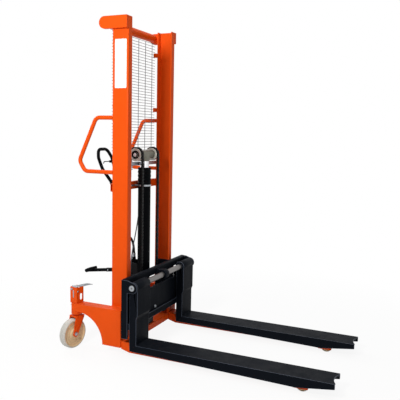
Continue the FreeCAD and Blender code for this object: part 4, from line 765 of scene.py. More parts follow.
def buildChains(s):
    frontLow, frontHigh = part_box("chain_front_runs")
    rearLow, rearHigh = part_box("chain_rear_runs")
    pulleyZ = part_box("chain_wraps")[0].z
    frontX, rearX = (frontLow.x + frontHigh.x) / 2, (rearLow.x + rearHigh.x) / 2
    pulleyX, radius = (frontX + rearX) / 2, (frontX - rearX) / 2
    sideways = frontHigh.y - (frontHigh.y + frontLow.y) / 2 - s["row"] * s["rows"] / 2
    length = frontHigh.z - frontLow.z
    ahead, back = Vector((1, 0, 0)), Vector((-1, 0, 0))

    links = round(length / s["pitch"])
    frontPins = [Vector((frontX, 0, z)) for z in np.linspace(frontLow.z, frontHigh.z, links + 1)]
    links = round(math.pi * radius / s["pitch"])
    spokes = [Vector((math.cos(turn), 0, math.sin(turn))) for turn in np.linspace(0, math.pi, links + 1)]
    wrapPins = [Vector((pulleyX, 0, pulleyZ)) + spoke * radius for spoke in spokes]
    # the hidden links of the rear run are packed close, and spread out evenly as the ram rises
    evens = np.linspace(0, 1, s["tightLinks"] + 1)
    packed = [0.5 - math.sin(math.asin(1 - 2 * even) / 3) for even in evens]
    rearPins = [Vector((rearX, 0, rearLow.z + (rearHigh.z - rearLow.z) * share)) for share in packed]
    front, wraps, rear = Builder(), Builder(), Builder()
    for way in (-sideways, sideways):
        chainRun(front, frontPins, [ahead] * len(frontPins), way, s)
        chainRun(wraps, wrapPins, spokes, way, s)
        chainRun(rear, rearPins, [back] * len(rearPins), way, s)
    for vert in rear.verts:
        vert.z = min(max(vert.z, rearLow.z), rearHigh.z)

    steel = ["oiledChain"]
    piece = addPiece("leafChainFrontRuns", front, steel, "lift_ram", ["chain_front_runs"])
    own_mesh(piece)
    addPiece("leafChainWraps", wraps, steel, "lift_ram", ["chain_wraps"])
    piece = addPiece("leafChainRearRuns", rear, steel, None, ["chain_rear_runs"])
    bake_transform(piece)


buildChains(chainLook)
print("chains built")

# chain pulleys with a sealed bearing in each side
pulleyLook = {"bore": 0.01105, "sealRadius": 0.0265, "sealDepth": 0.0016, "hubRadius": 0.0165,
              "groove": 0.0365, "flange": 0.004, "soft": 0.0008, "segments": 72}


def buildPulleys(s):
    soft, rim, wall = s["soft"], s["groove"], s["flange"]
    for hand in hands:
        low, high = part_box(f"chain_pulley_{hand}")
        half, edge = (high.y - low.y) / 2, (high.z - low.z) / 2
        hubFace, sealFace = half - s["sealDepth"], half - s["sealDepth"] * 2
        outline = bothSides([
            (s["bore"], hubFace, 0), (s["hubRadius"], hubFace, 0), (s["hubRadius"], sealFace, 1),
            (s["sealRadius"], sealFace, 1), (s["sealRadius"], half - soft, 0), (s["sealRadius"] + soft, half, 0),
            (edge - soft, half, 0), (edge, half - soft, 0), (edge, half - wall + soft, 0),
            (rim + soft, half - wall - soft, 0), (rim, half - wall - 2 * soft, 0),
        ])
        build = Builder()
        lathe(build, outline, (low + high) / 2, (0, 1, 0), s["segments"])
        addPiece(f"chainPulley_{hand}", build, ["pulleySteel", "hoseRubber"], f"{hand}_pulley",
                 [f"chain_pulley_{hand}"], sharp=40)


buildPulleys(pulleyLook)

# pulley axle ends: black retaining cap round a bright pin end with a centre drilling
axleCapLook = {"cap": 0.0163, "pin": 0.0112, "proud": 0.0007, "soft": 0.001, "drill": 0.003, "drillTip": 0.3,
               "capSegments": 48, "pinSegments": 40}


def buildAxleCaps(s):
    low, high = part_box("pulley_axle")
    centre, half = (low + high) / 2, (high.y - low.y) / 2
    cap, pin, proud, soft = s["cap"], s["pin"], s["proud"], s["soft"]
    tip = s["drill"] * s["drillTip"]
    build = Builder()
    for way in (-1, 1):
        face, outward = centre + Vector((0, way * half, 0)), (0, way, 0)
        lathe(build, [(pin, -2 * soft, 1), (pin, proud, 1), (cap - soft, proud, 1), (cap, proud - soft, 1),
                      (cap, -3 * soft, 1)], face, outward, s["capSegments"])
        lathe(build, [(tip, proud - soft), (s["drill"], 2 * proud), (pin - soft, 2 * proud),
                      (pin, 2 * proud - soft), (pin, -soft), (tip, -soft)], face, outward, s["pinSegments"])
    addPiece("pulleyAxleCaps", build, ["paleSteel", "cylinderBlack"], "lift_ram", sharp=30)


buildAxleCaps(axleCapLook)
print("pulleys built")

# hoses: each route repeats the points of the CAD model, and a crimped sleeve or a bent steel end holds it
barrelRadius = 0.04
cylinderAxis = (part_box("cylinder_barrel")[1].x - barrelRadius, 0.0)
hoseLook = {"foot": 0.15, "steps": 10, "order": 3, "roundness": 5}
pressureLook = {
    "x": -0.5325, "swing": 0.14, "top": 0.524, "radius": 0.0075, "length": 0.737, "bentEnd": False,
    # share of the swing, share of the climb
    "route": [(0, 1), (0, 1.17), (0.25, 1.35), (0.68, 1.4), (0.96, 1.25), (1, 0.95), (0.92, 0.58), (0.6, 0.26),
              (0.38, 0.11), (0.38, 0)],
}
returnLook = {
    "reach": 0.05, "angle": 150, "top": 1.086, "radius": 0.0035, "length": 0.957, "bentEnd": True,
    # share of the reach from the cylinder's axis, turn past the angle, share of the climb
    "route": [(1, 0, 1), (1.3, 0, 1), (1.26, -0.01, 0.975), (0.98, -0.03, 0.935), (0.98, -0.03, 0.85),
              (1, 0.14, 0.66), (1.06, 0.36, 0.57), (1.4, 0.45, 0.48), (1.66, 0.4, 0.35), (1.66, 0.36, 0.17),
              (1.5, 0.3, 0.06), (1.5, 0.3, 0)],
}
crimpLook = {"length": 0.026, "proud": 0.0024, "grooves": 4, "groove": 0.0009, "inner": 0.9, "segments": 28}
elbowLook = {**crimpLook, "length": 0.013, "proud": 0.0013, "grooves": 2, "groove": 0.0007, "reach": 0.034,
             "sides": 20}


def pressureRoute(s):
    foot, climb = hoseLook["foot"], s["top"] - hoseLook["foot"]
    return [Vector((s["x"], -s["swing"] * swing, foot + climb * rise)) for swing, rise in s["route"]]


def returnRoute(s):
    foot, climb = hoseLook["foot"], s["top"] - hoseLook["foot"]
    points = []
    for out, turn, rise in s["route"]:
        angle = math.radians(s["angle"] * (1 + turn))
        points.append(Vector((cylinderAxis[0] + s["reach"] * out * math.cos(angle),
                              s["reach"] * out * math.sin(angle), foot + climb * rise)))
    return points


# sleeve with rolled grooves, from an end of the hose along its first run
def crimp(build, at, along, radius, s):
    wide, inner, groove, length = radius + s["proud"], radius * s["inner"], s["groove"], s["length"]
    outline = [(inner, 0), (wide - groove, 0), (wide, groove)]
    for index in range(1, s["grooves"] + 1):
        middle = index * (length / (s["grooves"] + 1))
        outline += [(wide, middle - groove), (wide - groove, middle), (wide, middle + groove)]
    outline += [(wide, length - groove), (wide - groove, length), (inner, length)]
    lathe(build, outline, at, along, s["segments"])


# points along a hose, read from its spline while the curve has no thickness
def linePoints(curve):
    probe = bpy.data.objects.new("probe", curve)
    mesh = bpy.data.meshes.new_from_object(probe)
    points = [vert.co.copy() for vert in mesh.vertices]
    bpy.data.objects.remove(probe)
    bpy.data.meshes.remove(mesh)
    return points


# bent steel end over the first stretch of a hose, closed by a rolled collar
def elbow(build, line, radius, s):
    points, gone = [line[0]], 0.0
    for first, second in zip(line, line[1:]):
        gone += (second - first).length
        points.append(second)
        if gone > s["reach"]:
            break
    sweep(build, points, radius + s["proud"], s["sides"])
    crimp(build, points[-2], points[-1] - points[-2], radius + s["proud"], s)


def buildHose(name, points, s, finishName, node):
    curve = bpy.data.curves.new(name, "CURVE")
    curve.dimensions = "3D"
    curve.resolution_u = hoseLook["steps"]
    spline = curve.splines.new("NURBS")
    spline.points.add(len(points) - 1)
    for spot, point in zip(spline.points, points):
        spot.co = (*point, 1)
    spline.order_u = hoseLook["order"]
    spline.use_endpoint_u = True
    sleeves = Builder()
    if s["bentEnd"]:
        elbow(sleeves, linePoints(curve), s["radius"], elbowLook)
    else:
        crimp(sleeves, points[0], points[1] - points[0], s["radius"], crimpLook)
    crimp(sleeves, points[-1], points[-2] - points[-1], s["radius"], crimpLook)
    curve.bevel_depth = s["radius"]
    curve.bevel_resolution = hoseLook["roundness"]
    curve.use_fill_caps = True
    curve.materials.append(finishes[finishName])
    hose = placePiece(name, curve, "chassis", [node])
    ends = addPiece(name + "Sleeves", sleeves, ["zincPlate"], "chassis")


buildHose("pressureHose", pressureRoute(pressureLook), pressureLook, "hoseRubber", "pressure_hose")
buildHose("returnHose", returnRoute(returnLook), returnLook, "returnLine", "return_hose")
print("hoses built")

# caster wheels: pale rolling face, tan moulded web with a turned groove, pressed-in bearing
rollingFinishes = ["paleTread", "wheelNylon", "zincPlate"]
wheelLook = {
    "radius": 0.09, "half": 0.0225, "round": 0.009, "roundSteps": 4, "hub": 0.03, "hubHalf": 0.0242,
    "web": 0.0165, "rim": 0.072, "bore": 0.01005, "bearing": 0.0165, "soft": 0.001, "segments": 72,
    "groove": (0.05, 0.0545, 0.0011),  # inner radius, outer radius, depth
}


def buildWheels(s):
    inner, outer, deep = s["groove"]
    hub, hubHalf, web, rim, half, soft = (s[key] for key in ("hub", "hubHalf", "web", "rim", "half", "soft"))
    edge = s["radius"] - s["round"]
    faceSide = [
        (s["bore"], hubHalf, 2), (s["bearing"], hubHalf, 2), (s["bearing"], hubHalf - soft, 1),
        (hub - soft, hubHalf - soft, 1), (hub, hubHalf - 2 * soft, 1), (hub + 6 * soft, web, 1),
        (inner, web, 1), (inner + soft, web - deep, 1), (outer - soft, web - deep, 1), (outer, web, 1),
        (rim, web, 1), (rim + 5 * soft, half - soft, 1), (rim + 6 * soft, half, 1), (edge, half, 0),
    ]
    faceSide += roundOver(edge, half, s["round"], s["roundSteps"])
    for hand in hands:
        joint = joints[f"{hand}_wheel_roll"]
        build = Builder()
        lathe(build, bothSides(faceSide), joint["pos_m"], joint["axis"], s["segments"])
        addPiece(f"casterWheel_{hand}", build, rollingFinishes, f"{hand}_wheel",
                 [f"caster_wheel_{hand}"], sharp=30)


buildWheels(wheelLook)

# load rollers with two turned grooves on each side and a bearing ring
rollerLook = {"radius": 0.037, "half": 0.035, "round": 0.004, "roundSteps": 3, "bore": 0.01005,
              "bearing": 0.017, "groove": 0.0008, "grooveShares": (0.6, 0.5), "segments": 56}


def buildLoadRollers(s):
    radius, half, deep = s["radius"], s["half"], s["groove"]
    edge = radius - s["round"]
    faceSide = [
        (s["bore"], half, 2), (s["bearing"], half, 2), (s["bearing"], half - 2 * deep, 1),
        (edge - 4 * deep, half - 2 * deep, 1), (edge - 2 * deep, half, 1), (edge, half, 0),
    ]
    faceSide += roundOver(edge, half, s["round"], s["roundSteps"])
    for share in s["grooveShares"]:
        spot = half * share
        faceSide += [(radius, spot, 0), (radius - deep, spot - deep, 0), (radius - deep, spot - 2 * deep, 0),
                     (radius, spot - 3 * deep, 0)]
    for hand in hands:
        joint = joints[f"{hand}_load_roll"]
        build = Builder()
        lathe(build, bothSides(faceSide), joint["pos_m"], joint["axis"], s["segments"])
        addPiece(f"loadRoller_{hand}", build, rollingFinishes, f"{hand}_load_roller",
                 [f"load_roller_{hand}"], sharp=30)


buildLoadRollers(rollerLook)
print("wheels built")

# caster axles: bolt head on one side, nut and thread end on the other
axleLook = {"radius": 0.01, "half": 0.0305, "segments": 32, "head": 0.0088, "headHeight": 0.006, "tip": 0.002,
            "tipShare": 0.6, "soft": 0.0004}


def buildAxles(s):
    for hand in hands:
        joint = joints[f"{hand}_wheel_roll"]
        at, axis = Vector(joint["pos_m"]), Vector(joint["axis"]).normalized()
        build = Builder()
        roundBar(build, at, axis, s["radius"], s["half"], s["segments"])
        for way, tip in ((-1, 0.0), (1, s["tip"])):
            hexHead(build, at + axis * way * s["half"], axis * way, s["head"], s["headHeight"], tip=tip,
                    tipRadius=s["head"] * s["tipShare"])
        piece = addPiece(f"axleBolt_{hand}", build, ["zincPlate"], f"{hand}_caster",
                         [f"caster_axle_{hand}"])
        addBevel(piece, s["soft"], 1)


buildAxles(axleLook)

# brake pedals: pressed plate with a rolled root, stiffening beads and a drooped tip, on a riveted pin
brakeLook = {
    "plate": 0.003, "pin": 0.005, "pinHalf": 0.0285, "pinBack": 0.017, "pinHeight": 0.352, "segments": 24,
    "head": 0.0062, "headLevels": ((1, 0.0012), (0.6, 0.0026)), "headTop": 0.003,
    "beadRadius": 0.0016, "beadSink": 0.35, "beadSpan": (6, 10), "beadPlaces": (-0.5, 0, 0.5), "beadSides": 8,
    "lugHalf": 0.011, "lug": ((-0.022, 0.3465), (0.005, 0.3465), (0.005, 0.3715), (-0.019, 0.3715)),
    "soft": 0.0007, "softAngle": 50,
    # along the pedal, height, half width
    "spine": [(-0.0232, 0.35, 0.016), (-0.0232, 0.37, 0.02), (-0.0225, 0.3785, 0.021), (-0.0185, 0.3832, 0.021),
              (-0.0115, 0.3842, 0.021), (-0.002, 0.3818, 0.021), (0.008, 0.3782, 0.021), (0.024, 0.3766, 0.021),
              (0.055, 0.3762, 0.02), (0.085, 0.3748, 0.019), (0.106, 0.3722, 0.0175), (0.118, 0.3692, 0.0145),
              (0.1245, 0.3668, 0.009)],
}


# foot of a caster's swivel axis, and the directions ahead and across its wheel
def casterAxes(hand):
    hub = Vector(joints[f"{hand}_swivel"]["pos_m"])
    across = Vector(joints[f"{hand}_wheel_roll"]["axis"]).normalized()
    if across.x > 0:
        across = -across
    ahead = across.cross(upward)
    wheel = Vector(joints[f"{hand}_wheel_roll"]["pos_m"])
    if ahead.dot(wheel - hub) > 0:
        ahead = -ahead
    return Vector((hub.x, hub.y, 0)), ahead, across


# bent plate with two corners above and two below at each place of its spine
def pedalPlate(build, hub, ahead, across, s):
    spine = s["spine"]
    verts, faces = [], []
    for index, (along, height, half) in enumerate(spine):
        before, after = spine[max(index - 1, 0)], spine[min(index + 1, len(spine) - 1)]
        run = Vector((after[0] - before[0], after[1] - before[1])).normalized()
        normal = ahead * -run.y + upward * run.x
        centre = hub + ahead * along + upward * height
        verts += [centre + across * half * way + normal * lift for lift in (0, -s["plate"]) for way in (-1, 1)]
    last = len(verts) - 4
    for a in range(0, last, 4):
        b = a + 4
        faces += [(a, a + 1, b + 1, b), (a + 2, b + 2, b + 3, a + 3), (a, b, b + 2, a + 2),
                  (a + 1, a + 3, b + 3, b + 1)]
    faces += [(0, 2, 3, 1), (last, last + 1, last + 3, last + 2)]
    build.add(verts, faces)


def buildBrakePedals(s):
    for hand in hands:
        hub, ahead, across = casterAxes(hand)
        build = Builder()
        pedalPlate(build, hub, ahead, across, s)
        sink = s["beadRadius"] * s["beadSink"]
        for place in s["beadPlaces"]:
            points = [hub + ahead * along + upward * (height - sink) + across * half * place
                      for along, height, half in s["spine"][slice(*s["beadSpan"])]]
            sweep(build, points, s["beadRadius"], s["beadSides"])
        pin = hub - ahead * s["pinBack"] + upward * s["pinHeight"]
        roundBar(build, pin, across, s["pin"], s["pinHalf"], s["segments"])
        lug = [hub + ahead * along + upward * height - across * s["lugHalf"] for along, height in s["lug"]]
        extrude(build, lug, across * 2 * s["lugHalf"])
        rivet = [(onAxis, 0), (s["head"], 0)]
        rivet += [(s["head"] * share, rise) for share, rise in s["headLevels"]] + [(onAxis, s["headTop"])]
        for way in (-1, 1):
            lathe(build, rivet, pin + across * way * s["pinHalf"], across * way, s["segments"])
        piece = addPiece(f"brakePedal_{hand}", build, ["zincPlate"], f"{hand}_brake_pedal",
                         [f"brake_pedal_{hand}"], sharp=40)
        addBevel(piece, s["soft"], angle=s["softAngle"])


buildBrakePedals(brakeLook)

# brake brackets: adjuster bar and bolt on the closed wall
bracketLook = {
    "wall": 0.0285, "barThick": 0.0018, "steps": 8, "soft": 0.0004,
    "bolt": (0.0135, 0.3635, 0.0062, 0.0045),  # place across, height, head radius, head height
    "bar": (-0.001, 0.335, 0.0042, 0.019),  # place across, height, half width, reach up and down
}


def buildBracketTrim(s):
    for hand in hands:
        hub, ahead, across = casterAxes(hand)
        wall = hub - ahead * s["wall"]
        build = Builder()
        shift, height, radius, tall = s["bolt"]
        hexHead(build, wall + across * shift + upward * height, -ahead, radius, tall)
        shift, height, half, reach = s["bar"]
        outline = []
        for end in (1, -1):
            for step in range(s["steps"] + 1):
                angle = math.pi * step / s["steps"]
                outline.append(wall + across * (shift + end * half * math.cos(angle))
                               + upward * (height + end * (reach + half * math.sin(angle))))
        extrude(build, outline, -ahead * s["barThick"])
        piece = addPiece(f"bracketTrim_{hand}", build, ["zincPlate"], f"{hand}_caster")
        addBevel(piece, s["soft"], 1)


buildBracketTrim(bracketLook)
print("brakes built")

# chain anchors: clevis block on the bar, threaded rod with nut and lock nut below it
anchorLook = {"rod": 0.006, "drop": 0.074, "nut": 0.013, "nutHeight": 0.011, "lockHeight": 0.007,
              "lockGap": 0.018, "blockDeep": 0.012, "blockWide": 0.024, "soft": 0.0006}


def buildAnchors(s):
    barLow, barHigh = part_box("chain_anchor_bar")
    low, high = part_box("chain_anchor_bolts")
    runLow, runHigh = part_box("chain_rear_runs")
    x = (runLow.x + runHigh.x) / 2
    y = (high.y - low.y) / 2 - s["nut"]
    deep, wide = s["blockDeep"], s["blockWide"]
    build = Builder()
    for way in (-1, 1):
        at = Vector((x, way * y, barLow.z))
        threadedRod(build, at - upward * s["drop"], upward, s["rod"], s["drop"])
        hexHead(build, at, -upward, s["nut"], s["nutHeight"])
        hexHead(build, at - upward * s["lockGap"], -upward, s["nut"], s["lockHeight"], washer=False)
        corners = [Vector((x + deep / 2 * a, way * y + wide / 2 * b, barHigh.z)) for a, b in
                   ((-1, -1), (1, -1), (1, 1), (-1, 1))]
        extrude(build, corners, (0, 0, high.z - barHigh.z))
    piece = addPiece("chainAnchors", build, ["zincPlate"], "chassis", ["chain_anchor_bolts"])
    addBevel(piece, s["soft"], 1)


buildAnchors(anchorLook)

# fork shaft ends: retaining ring in its groove and a drilled, chamfered face
shaftLook = {"radius": 0.0175, "ring": 0.0212, "ringAt": 0.0022, "ringThick": 0.0018, "ringBite": 0.001,
             "chamfer": 0.0016, "drill": 0.004, "drillFlare": 1.5, "depth": 0.004, "proud": 0.0004,
             "segments": 40}


def buildShaftEnds(s):
    low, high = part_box("fork_shaft")
    centre = (low + high) / 2
    radius, proud, depth, thick = s["radius"], s["proud"], s["depth"], s["ringThick"]
    seat = radius - s["ringBite"]
    build = Builder()
    for way in (-1, 1):
        face = Vector((centre.x, way * (high.y - centre.y), centre.z))
        outward = Vector((0, way, 0))
        lathe(build, [(seat, 0), (s["ring"], 0), (s["ring"], thick), (seat, thick)],
              face - outward * s["ringAt"], outward, s["segments"])
        lathe(build, [(s["drill"], -depth, 1), (s["drill"] * s["drillFlare"], proud, 1),
                      (radius - s["chamfer"], proud, 1), (radius, -s["chamfer"], 1), (radius, -depth, 1)],
              face, outward, s["segments"])
    addPiece("shaftEnds", build, ["cylinderBlack", "zincPlate"], "carriage", sharp=30)


buildShaftEnds(shaftLook)

# small fasteners, each with the body that carries it: place, axis, head radius, head height
fastenerLook = {
    "carriage": [((-0.3505, -0.0432, 0.2291), (1, 0, 0), 0.0075, 0.005)],
    "chassis": [
        # pump base
        ((-0.4275, -0.0515, 0.15), (0, 0, 1), 0.0075, 0.006), ((-0.4275, 0.0515, 0.15), (0, 0, 1), 0.0075, 0.006),
        ((-0.511, -0.0535, 0.15), (0, 0, 1), 0.0075, 0.006), ((-0.511, 0.0535, 0.15), (0, 0, 1), 0.0075, 0.006),
        # plugs of the oil ways
        ((-0.585, -0.062, 0.122), (0, -1, 0), 0.0095, 0.007), ((-0.585, 0.062, 0.122), (0, 1, 0), 0.0095, 0.007),
        ((-0.63, 0.021, 0.212), (-1, 0, 0), 0.011, 0.009), ((-0.63, -0.022, 0.178), (-1, 0, 0), 0.0085, 0.007),
        # strap of the barrel
        ((-0.511, -0.078, 0.996), (1, 0, 0), 0.0065, 0.005),
    ],
}
fastenerSoft = 0.0004
glandLook = {"count": 6, "circle": 0.046, "height": 0.185, "head": 0.0042, "tall": 0.004}
nippleLook = {"reach": 0.034, "height": 0.255, "segments": 20,
              "outline": [(onAxis, 0), (0.0046, 0), (0.0046, 0.0035), (0.0022, 0.0046), (0.0022, 0.0078),
                          (0.0033, 0.0094), (0.0033, 0.0108), (0.0016, 0.0124), (onAxis, 0.0124)]}


def buildFasteners(s, gland, nipple):
    for body, bolts in s.items():
        build = Builder()
        for at, axis, radius, height in bolts:
            hexHead(build, at, axis, radius, height)
        if body == "chassis":
            for spot in ring((*cylinderAxis, gland["height"]), upward, gland["circle"], gland["count"]):
                hexHead(build, spot, upward, gland["head"], gland["tall"])
            for hand in hands:
                hub = Vector(joints[f"{hand}_swivel"]["pos_m"])
                spot = (hub.x - nipple["reach"], hub.y, nipple["height"])
                lathe(build, nipple["outline"], spot, (-1, 0, 0), nipple["segments"])
        piece = addPiece(f"fasteners_{body}", build, ["zincPlate"], body)
        addBevel(piece, fastenerSoft, 1)


buildFasteners(fastenerLook, glandLook, nippleLook)

# pivot pin of the tiller: retaining ring and drilled face at each end
pivotLook = {"end": 0.043, "ring": 0.0135, "ringInner": 0.009, "ringThick": 0.0009, "ringSegments": 40,
             "pin": 0.0098, "pinSegments": 36, "soft": 0.001, "drill": 0.0026, "drillTip": 0.4, "proud": 0.0005}


def buildPivotEnds(s):
    hinge = Vector(joints["tiller_pump"]["pos_m"])
    inner, wide, thick = s["ringInner"], s["ring"], s["ringThick"]
    pin, drill, soft, proud = s["pin"], s["drill"], s["soft"], s["proud"]
    build = Builder()
    for way in (-1, 1):
        face, outward = Vector((hinge.x, way * s["end"], hinge.z)), (0, way, 0)
        lathe(build, [(inner, -thick, 1), (wide, -thick, 1), (wide, 0, 1), (inner, 0, 1)], face, outward,
              s["ringSegments"])
        lathe(build, [(drill * s["drillTip"], -soft), (drill, proud), (pin - soft, proud), (pin, proud - soft),
                      (pin, -soft)], face, outward, s["pinSegments"])
    addPiece("tillerPinEnds", build, ["zincPlate", "cylinderBlack"], "tiller_arm", sharp=30)


buildPivotEnds(pivotLook)
print("fasteners built")

# small black plates: a stay from the pump's left cheek to the barrel, and gussets beside the roller plates
stayLook = {"back": -0.552, "halfRight": 0.027, "halfLeft": 0.042, "shoulder": -0.522, "barrel": 0.0405,
            "wrap": 41, "steps": 8, "z": (0.388, 0.489), "soft": 0.0015}
gussetLook = {"thick": 0.005, "inner": 0.248, "outer": 0.385, "face": -0.361, "notch": 0.012, "soft": 0.0008}


def buildStay(s):
    low, high = s["z"]
    outline = [(s["back"], -s["halfRight"])]
    for step in range(s["steps"] + 1):
        angle = math.radians(180 + s["wrap"] * (1 - 2 * step / s["steps"]))
        outline.append((cylinderAxis[0] + s["barrel"] * math.cos(angle), s["barrel"] * math.sin(angle)))
    outline += [(s["shoulder"], s["halfLeft"]), (s["back"], s["halfLeft"])]
    build = Builder()
    extrude(build, [(x, y, low) for x, y in outline], (0, 0, high - low))
    piece = addPiece("pumpStay", build, ["castIron"], "chassis")
    addBevel(piece, s["soft"])


def buildGussets(s):
    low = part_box("carriage_cross_plate")[1].z
    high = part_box("carriage_top_bar")[0].z
    corners = ((s["inner"], low), (s["outer"], low), (s["outer"], high), (s["inner"] + s["notch"], high),
               (s["inner"], high - s["notch"]))
    build = Builder()
    for way in (-1, 1):
        extrude(build, [(s["face"] - s["thick"], way * y, z) for y, z in corners], (s["thick"], 0, 0))
    piece = addPiece("carriageGussets", build, ["blackPaint"], "carriage")
    addBevel(piece, s["soft"])


buildStay(stayLook)
buildGussets(gussetLook)

# foot pedal: ribs across the pad and a cross pin through the socket
pedalLook = {"heel": (-0.848, 0.4122), "padAngle": 16.5, "padThick": 0.023, "ribs": 6, "ribHalf": 0.026,
             "ribRadius": 0.0016, "ribEnd": 0.97, "ribEndShare": 0.5, "ribSides": 10, "ribStart": 0.004,
             "ribStep": 0.0078, "pin": 0.0045, "pinAt": (-0.6905, 0.4305), "pinHalf": 0.0155, "pinEnd": 0.8,
             "pinSoft": 0.001, "pinSegments": 24}


def buildPedalDetail(s):
    hinge = joints["pedal_press"]["pos_m"]
    angle = math.radians(s["padAngle"])
    along = Vector((math.cos(angle), 0, math.sin(angle)))
    normal = Vector((-math.sin(angle), 0, math.cos(angle)))
    heel = Vector((s["heel"][0], hinge[1], s["heel"][1]))
    half, thin = Vector((0, s["ribHalf"], 0)), s["ribRadius"] * s["ribEndShare"]
    ribs = Builder()
    for rib in range(s["ribs"]):
        spot = heel + along * (s["ribStart"] + rib * s["ribStep"]) + normal * s["padThick"] / 2
        sweep(ribs, [spot - half, spot - half * s["ribEnd"], spot + half * s["ribEnd"], spot + half],
              [thin, s["ribRadius"], s["ribRadius"], thin], s["ribSides"])
    addPiece("pedalRibs", ribs, ["hoseRubber"], "lift_pedal")
    pin = Builder()
    wide, half, soft = s["pin"], s["pinHalf"], s["pinSoft"]
    end = wide * s["pinEnd"]
    lathe(pin, [(onAxis, -half), (end, -half), (wide, -half + soft), (wide, half - soft), (end, half),
                (onAxis, half)], (s["pinAt"][0], hinge[1], s["pinAt"][1]), (0, 1, 0), s["pinSegments"])
    addPiece("pedalPin", pin, ["zincPlate"], "lift_pedal")


buildPedalDetail(pedalLook)

# bare white plate on the outer face of the right mast
plateLook = {"x": (-0.4965, -0.4185), "z": (1.582, 1.86), "corner": 0.006, "thick": 0.0005, "steps": 5}


def buildBlankPlate(s):
    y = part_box("mast_right")[0].y
    (lowX, highX), (lowZ, highZ), corner = s["x"], s["z"], s["corner"]
    outline = []
    for x, z, turn in ((highX - corner, highZ - corner, 0), (lowX + corner, highZ - corner, 90),
                       (lowX + corner, lowZ + corner, 180), (highX - corner, lowZ + corner, 270)):
        for step in range(s["steps"] + 1):
            angle = math.radians(turn + 90 * step / s["steps"])
            outline.append((x + corner * math.cos(angle), y, z + corner * math.sin(angle)))
    build = Builder()
    extrude(build, outline, (0, -s["thick"], 0))
    addPiece("blankPlate", build, ["blankVinyl"], "chassis")


buildBlankPlate(plateLook)

# weld beads where the frame's pieces meet
seamLook = {"radius": 0.0026, "tube": 0.0125, "tubeProud": 0.0012, "tubeSteps": 32, "beamStart": 0.25}


def buildWelds(s):
    mastLow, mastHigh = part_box("mast_right")
    beamLow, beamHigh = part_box("upper_cross_beam")
    handleLow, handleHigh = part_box("grab_handles")
    legLow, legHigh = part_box("leg_right")
    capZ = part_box("mast_caps")[0].z
    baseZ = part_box("base_side_right")[1].z
    back, front, tube, radius = mastLow.x, mastHigh.x, s["tube"], s["radius"]
    build = Builder()
    for way in (-1, 1):
        for z in (handleLow.z + tube, handleHigh.z - tube):
            spot = Vector((back, way * (handleHigh.y - tube), z))
            loop = ring(spot, (1, 0, 0), tube + s["tubeProud"], s["tubeSteps"])
            weldBead(build, loop, radius, closed=True)
        y, leg, end, start = (way * place for place in (-mastLow.y, -legLow.y, beamHigh.y, s["beamStart"]))
        runs = [((back, y, capZ), (front, y, capZ)), ((back, y, baseZ), (front, y, baseZ)),
                ((front, y, legHigh.z), (front, leg, legHigh.z)),
                ((back, end, beamLow.z), (back, end, beamHigh.z)),
                ((back, start, beamLow.z), (back, end, beamLow.z)),
                ((back, start, beamHigh.z), (back, end, beamHigh.z))]
        for run in runs:
            weldBead(build, run, radius)
    addPiece("weldSeams", build, ["orangePaint"], "chassis", sharp=60)


buildWelds(seamLook)

# seams under black paint: cross plate to end plates, and each fork's arm to its blade
liftSeamLook = {"radius": 0.0028, "inset": 0.004, "bladeTop": 0.09, "armFront": -0.2905}


def buildLiftWelds(s):
    low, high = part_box("carriage_cross_plate")
    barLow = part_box("carriage_lower_bar")[0]
    build = Builder()
    for way in (-1, 1):
        y = way * high.y
        weldBead(build, [(high.x, y, low.z), (high.x, y, high.z)], s["radius"])
        weldBead(build, [(barLow.x, y, barLow.z), (barLow.x, y, low.z)], s["radius"])
    addPiece("carriageSeams", build, ["blackPaint"], "carriage", sharp=60)
    for hand in hands:
        low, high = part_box(f"fork_{hand}")
        build = Builder()
        weldBead(build, [(s["armFront"], low.y + s["inset"], s["bladeTop"]),
                         (s["armFront"], high.y - s["inset"], s["bladeTop"])], s["radius"])
        addPiece(f"forkSeam_{hand}", build, ["blackPaint"], f"{hand}_fork", sharp=60)


buildLiftWelds(liftSeamLook)
print("seams built")

# white studio: pale floor that turns fully white away from the object, key from the photograph's left
studio = {
    "floorColor": (0.9, 0.9, 0.9, 1), "floorRough": 0.9, "floorHalf": 30,
    "floorFade": (0.9, 2.3), "floorGlow": (0.9, 1.0),
    "white": (1, 1, 1, 1), "worldLight": (0.92, 0.96, 1.0, 1), "worldStrength": 0.24,
    "lamps": [
        {"name": "keyPanel", "at": (-0.28, -2.9, 2.5), "aim": (-0.3, 0, 1.9), "size": 0.5, "power": 80,
         "color": (1, 0.97, 0.92)},
        {"name": "topPanel", "at": (0.3, -0.6, 4.6), "aim": (0.1, 0, 0.4), "size": 2.6, "power": 52,
         "color": (1, 1, 1)},
        {"name": "fillPanel", "at": (3.6, -2.2, 2.0), "aim": (0, 0, 0.7), "size": 2.4, "power": 14,
         "color": (1, 0.9, 0.82)},
        {"name": "rearPanel", "at": (-3.6, 1.3, 2.6), "aim": (-0.3, 0, 0.9), "size": 2.4, "power": 75,
         "color": (1, 0.98, 0.96)},
    ],
}


# 1 for the rays that see the backdrop itself, straight or in a mirror
def seenRays(tree):
    paths = addNode(tree, "ShaderNodeLightPath").outputs
    straight = math2(tree, "MAXIMUM", paths["Is Camera Ray"], paths["Is Glossy Ray"])
    return math2(tree, "MAXIMUM", straight, paths["Is Transmission Ray"])


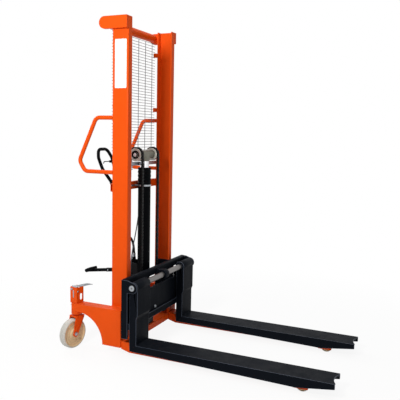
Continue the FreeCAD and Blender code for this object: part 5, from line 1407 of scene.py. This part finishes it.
def mixShaders(tree, share, first, second):
    mix = addNode(tree, "ShaderNodeMixShader")
    for slot, term in enumerate((share, first.outputs[0], second.outputs[0])):
        feed(tree, term, mix.inputs[slot])
    return mix.outputs[0]


def addWorld(s):
    world = bpy.data.worlds.new("whiteStudio")
    scene.world = world
    world.use_nodes = True
    tree = world.node_tree
    lit = addNode(tree, "ShaderNodeBackground", {"Color": s["worldLight"], "Strength": s["worldStrength"]})
    white = addNode(tree, "ShaderNodeBackground", {"Color": s["white"]})
    feed(tree, mixShaders(tree, seenRays(tree), lit, white), tree.nodes["World Output"].inputs["Surface"])


def addFloor(s):
    mesh = bpy.data.meshes.new("studioFloor")
    half = s["floorHalf"]
    mesh.from_pydata([(-half, -half, 0), (half, -half, 0), (half, half, 0), (-half, half, 0)], [], [(0, 1, 2, 3)])
    floor = bpy.data.objects.new("studioFloor", mesh)
    scene.collection.objects.link(floor)
    material, tree, shader = newMaterial("paleFloor", {
        "Base Color": s["floorColor"], "Roughness": s["floorRough"], "Specular IOR Level": 0.0})
    distance = addNode(tree, "ShaderNodeVectorMath", operation="LENGTH")
    feed(tree, objectPlace(tree), distance.inputs[0])
    share = ramp(tree, distance.outputs["Value"], s["floorFade"], s["floorGlow"])
    white = addNode(tree, "ShaderNodeEmission", {"Color": s["white"], "Strength": 1.0})
    feed(tree, mixShaders(tree, times(tree, seenRays(tree), share), shader, white),
         tree.nodes["Material Output"].inputs["Surface"])
    mesh.materials.append(material)


def addLamps(s):
    for lamp in s["lamps"]:
        data = bpy.data.lights.new(lamp["name"], "AREA")
        data.shape = "SQUARE"
        data.size = lamp["size"]
        data.energy = lamp["power"]
        data.color = lamp["color"]
        panel = bpy.data.objects.new(lamp["name"], data)
        scene.collection.objects.link(panel)
        panel.location = lamp["at"]
        panel.rotation_mode = "QUATERNION"
        panel.rotation_quaternion = (Vector(lamp["aim"]) - Vector(lamp["at"])).to_track_quat("-Z", "Y")


addWorld(studio)
addFloor(studio)
addLamps(studio)
print("studio ready")
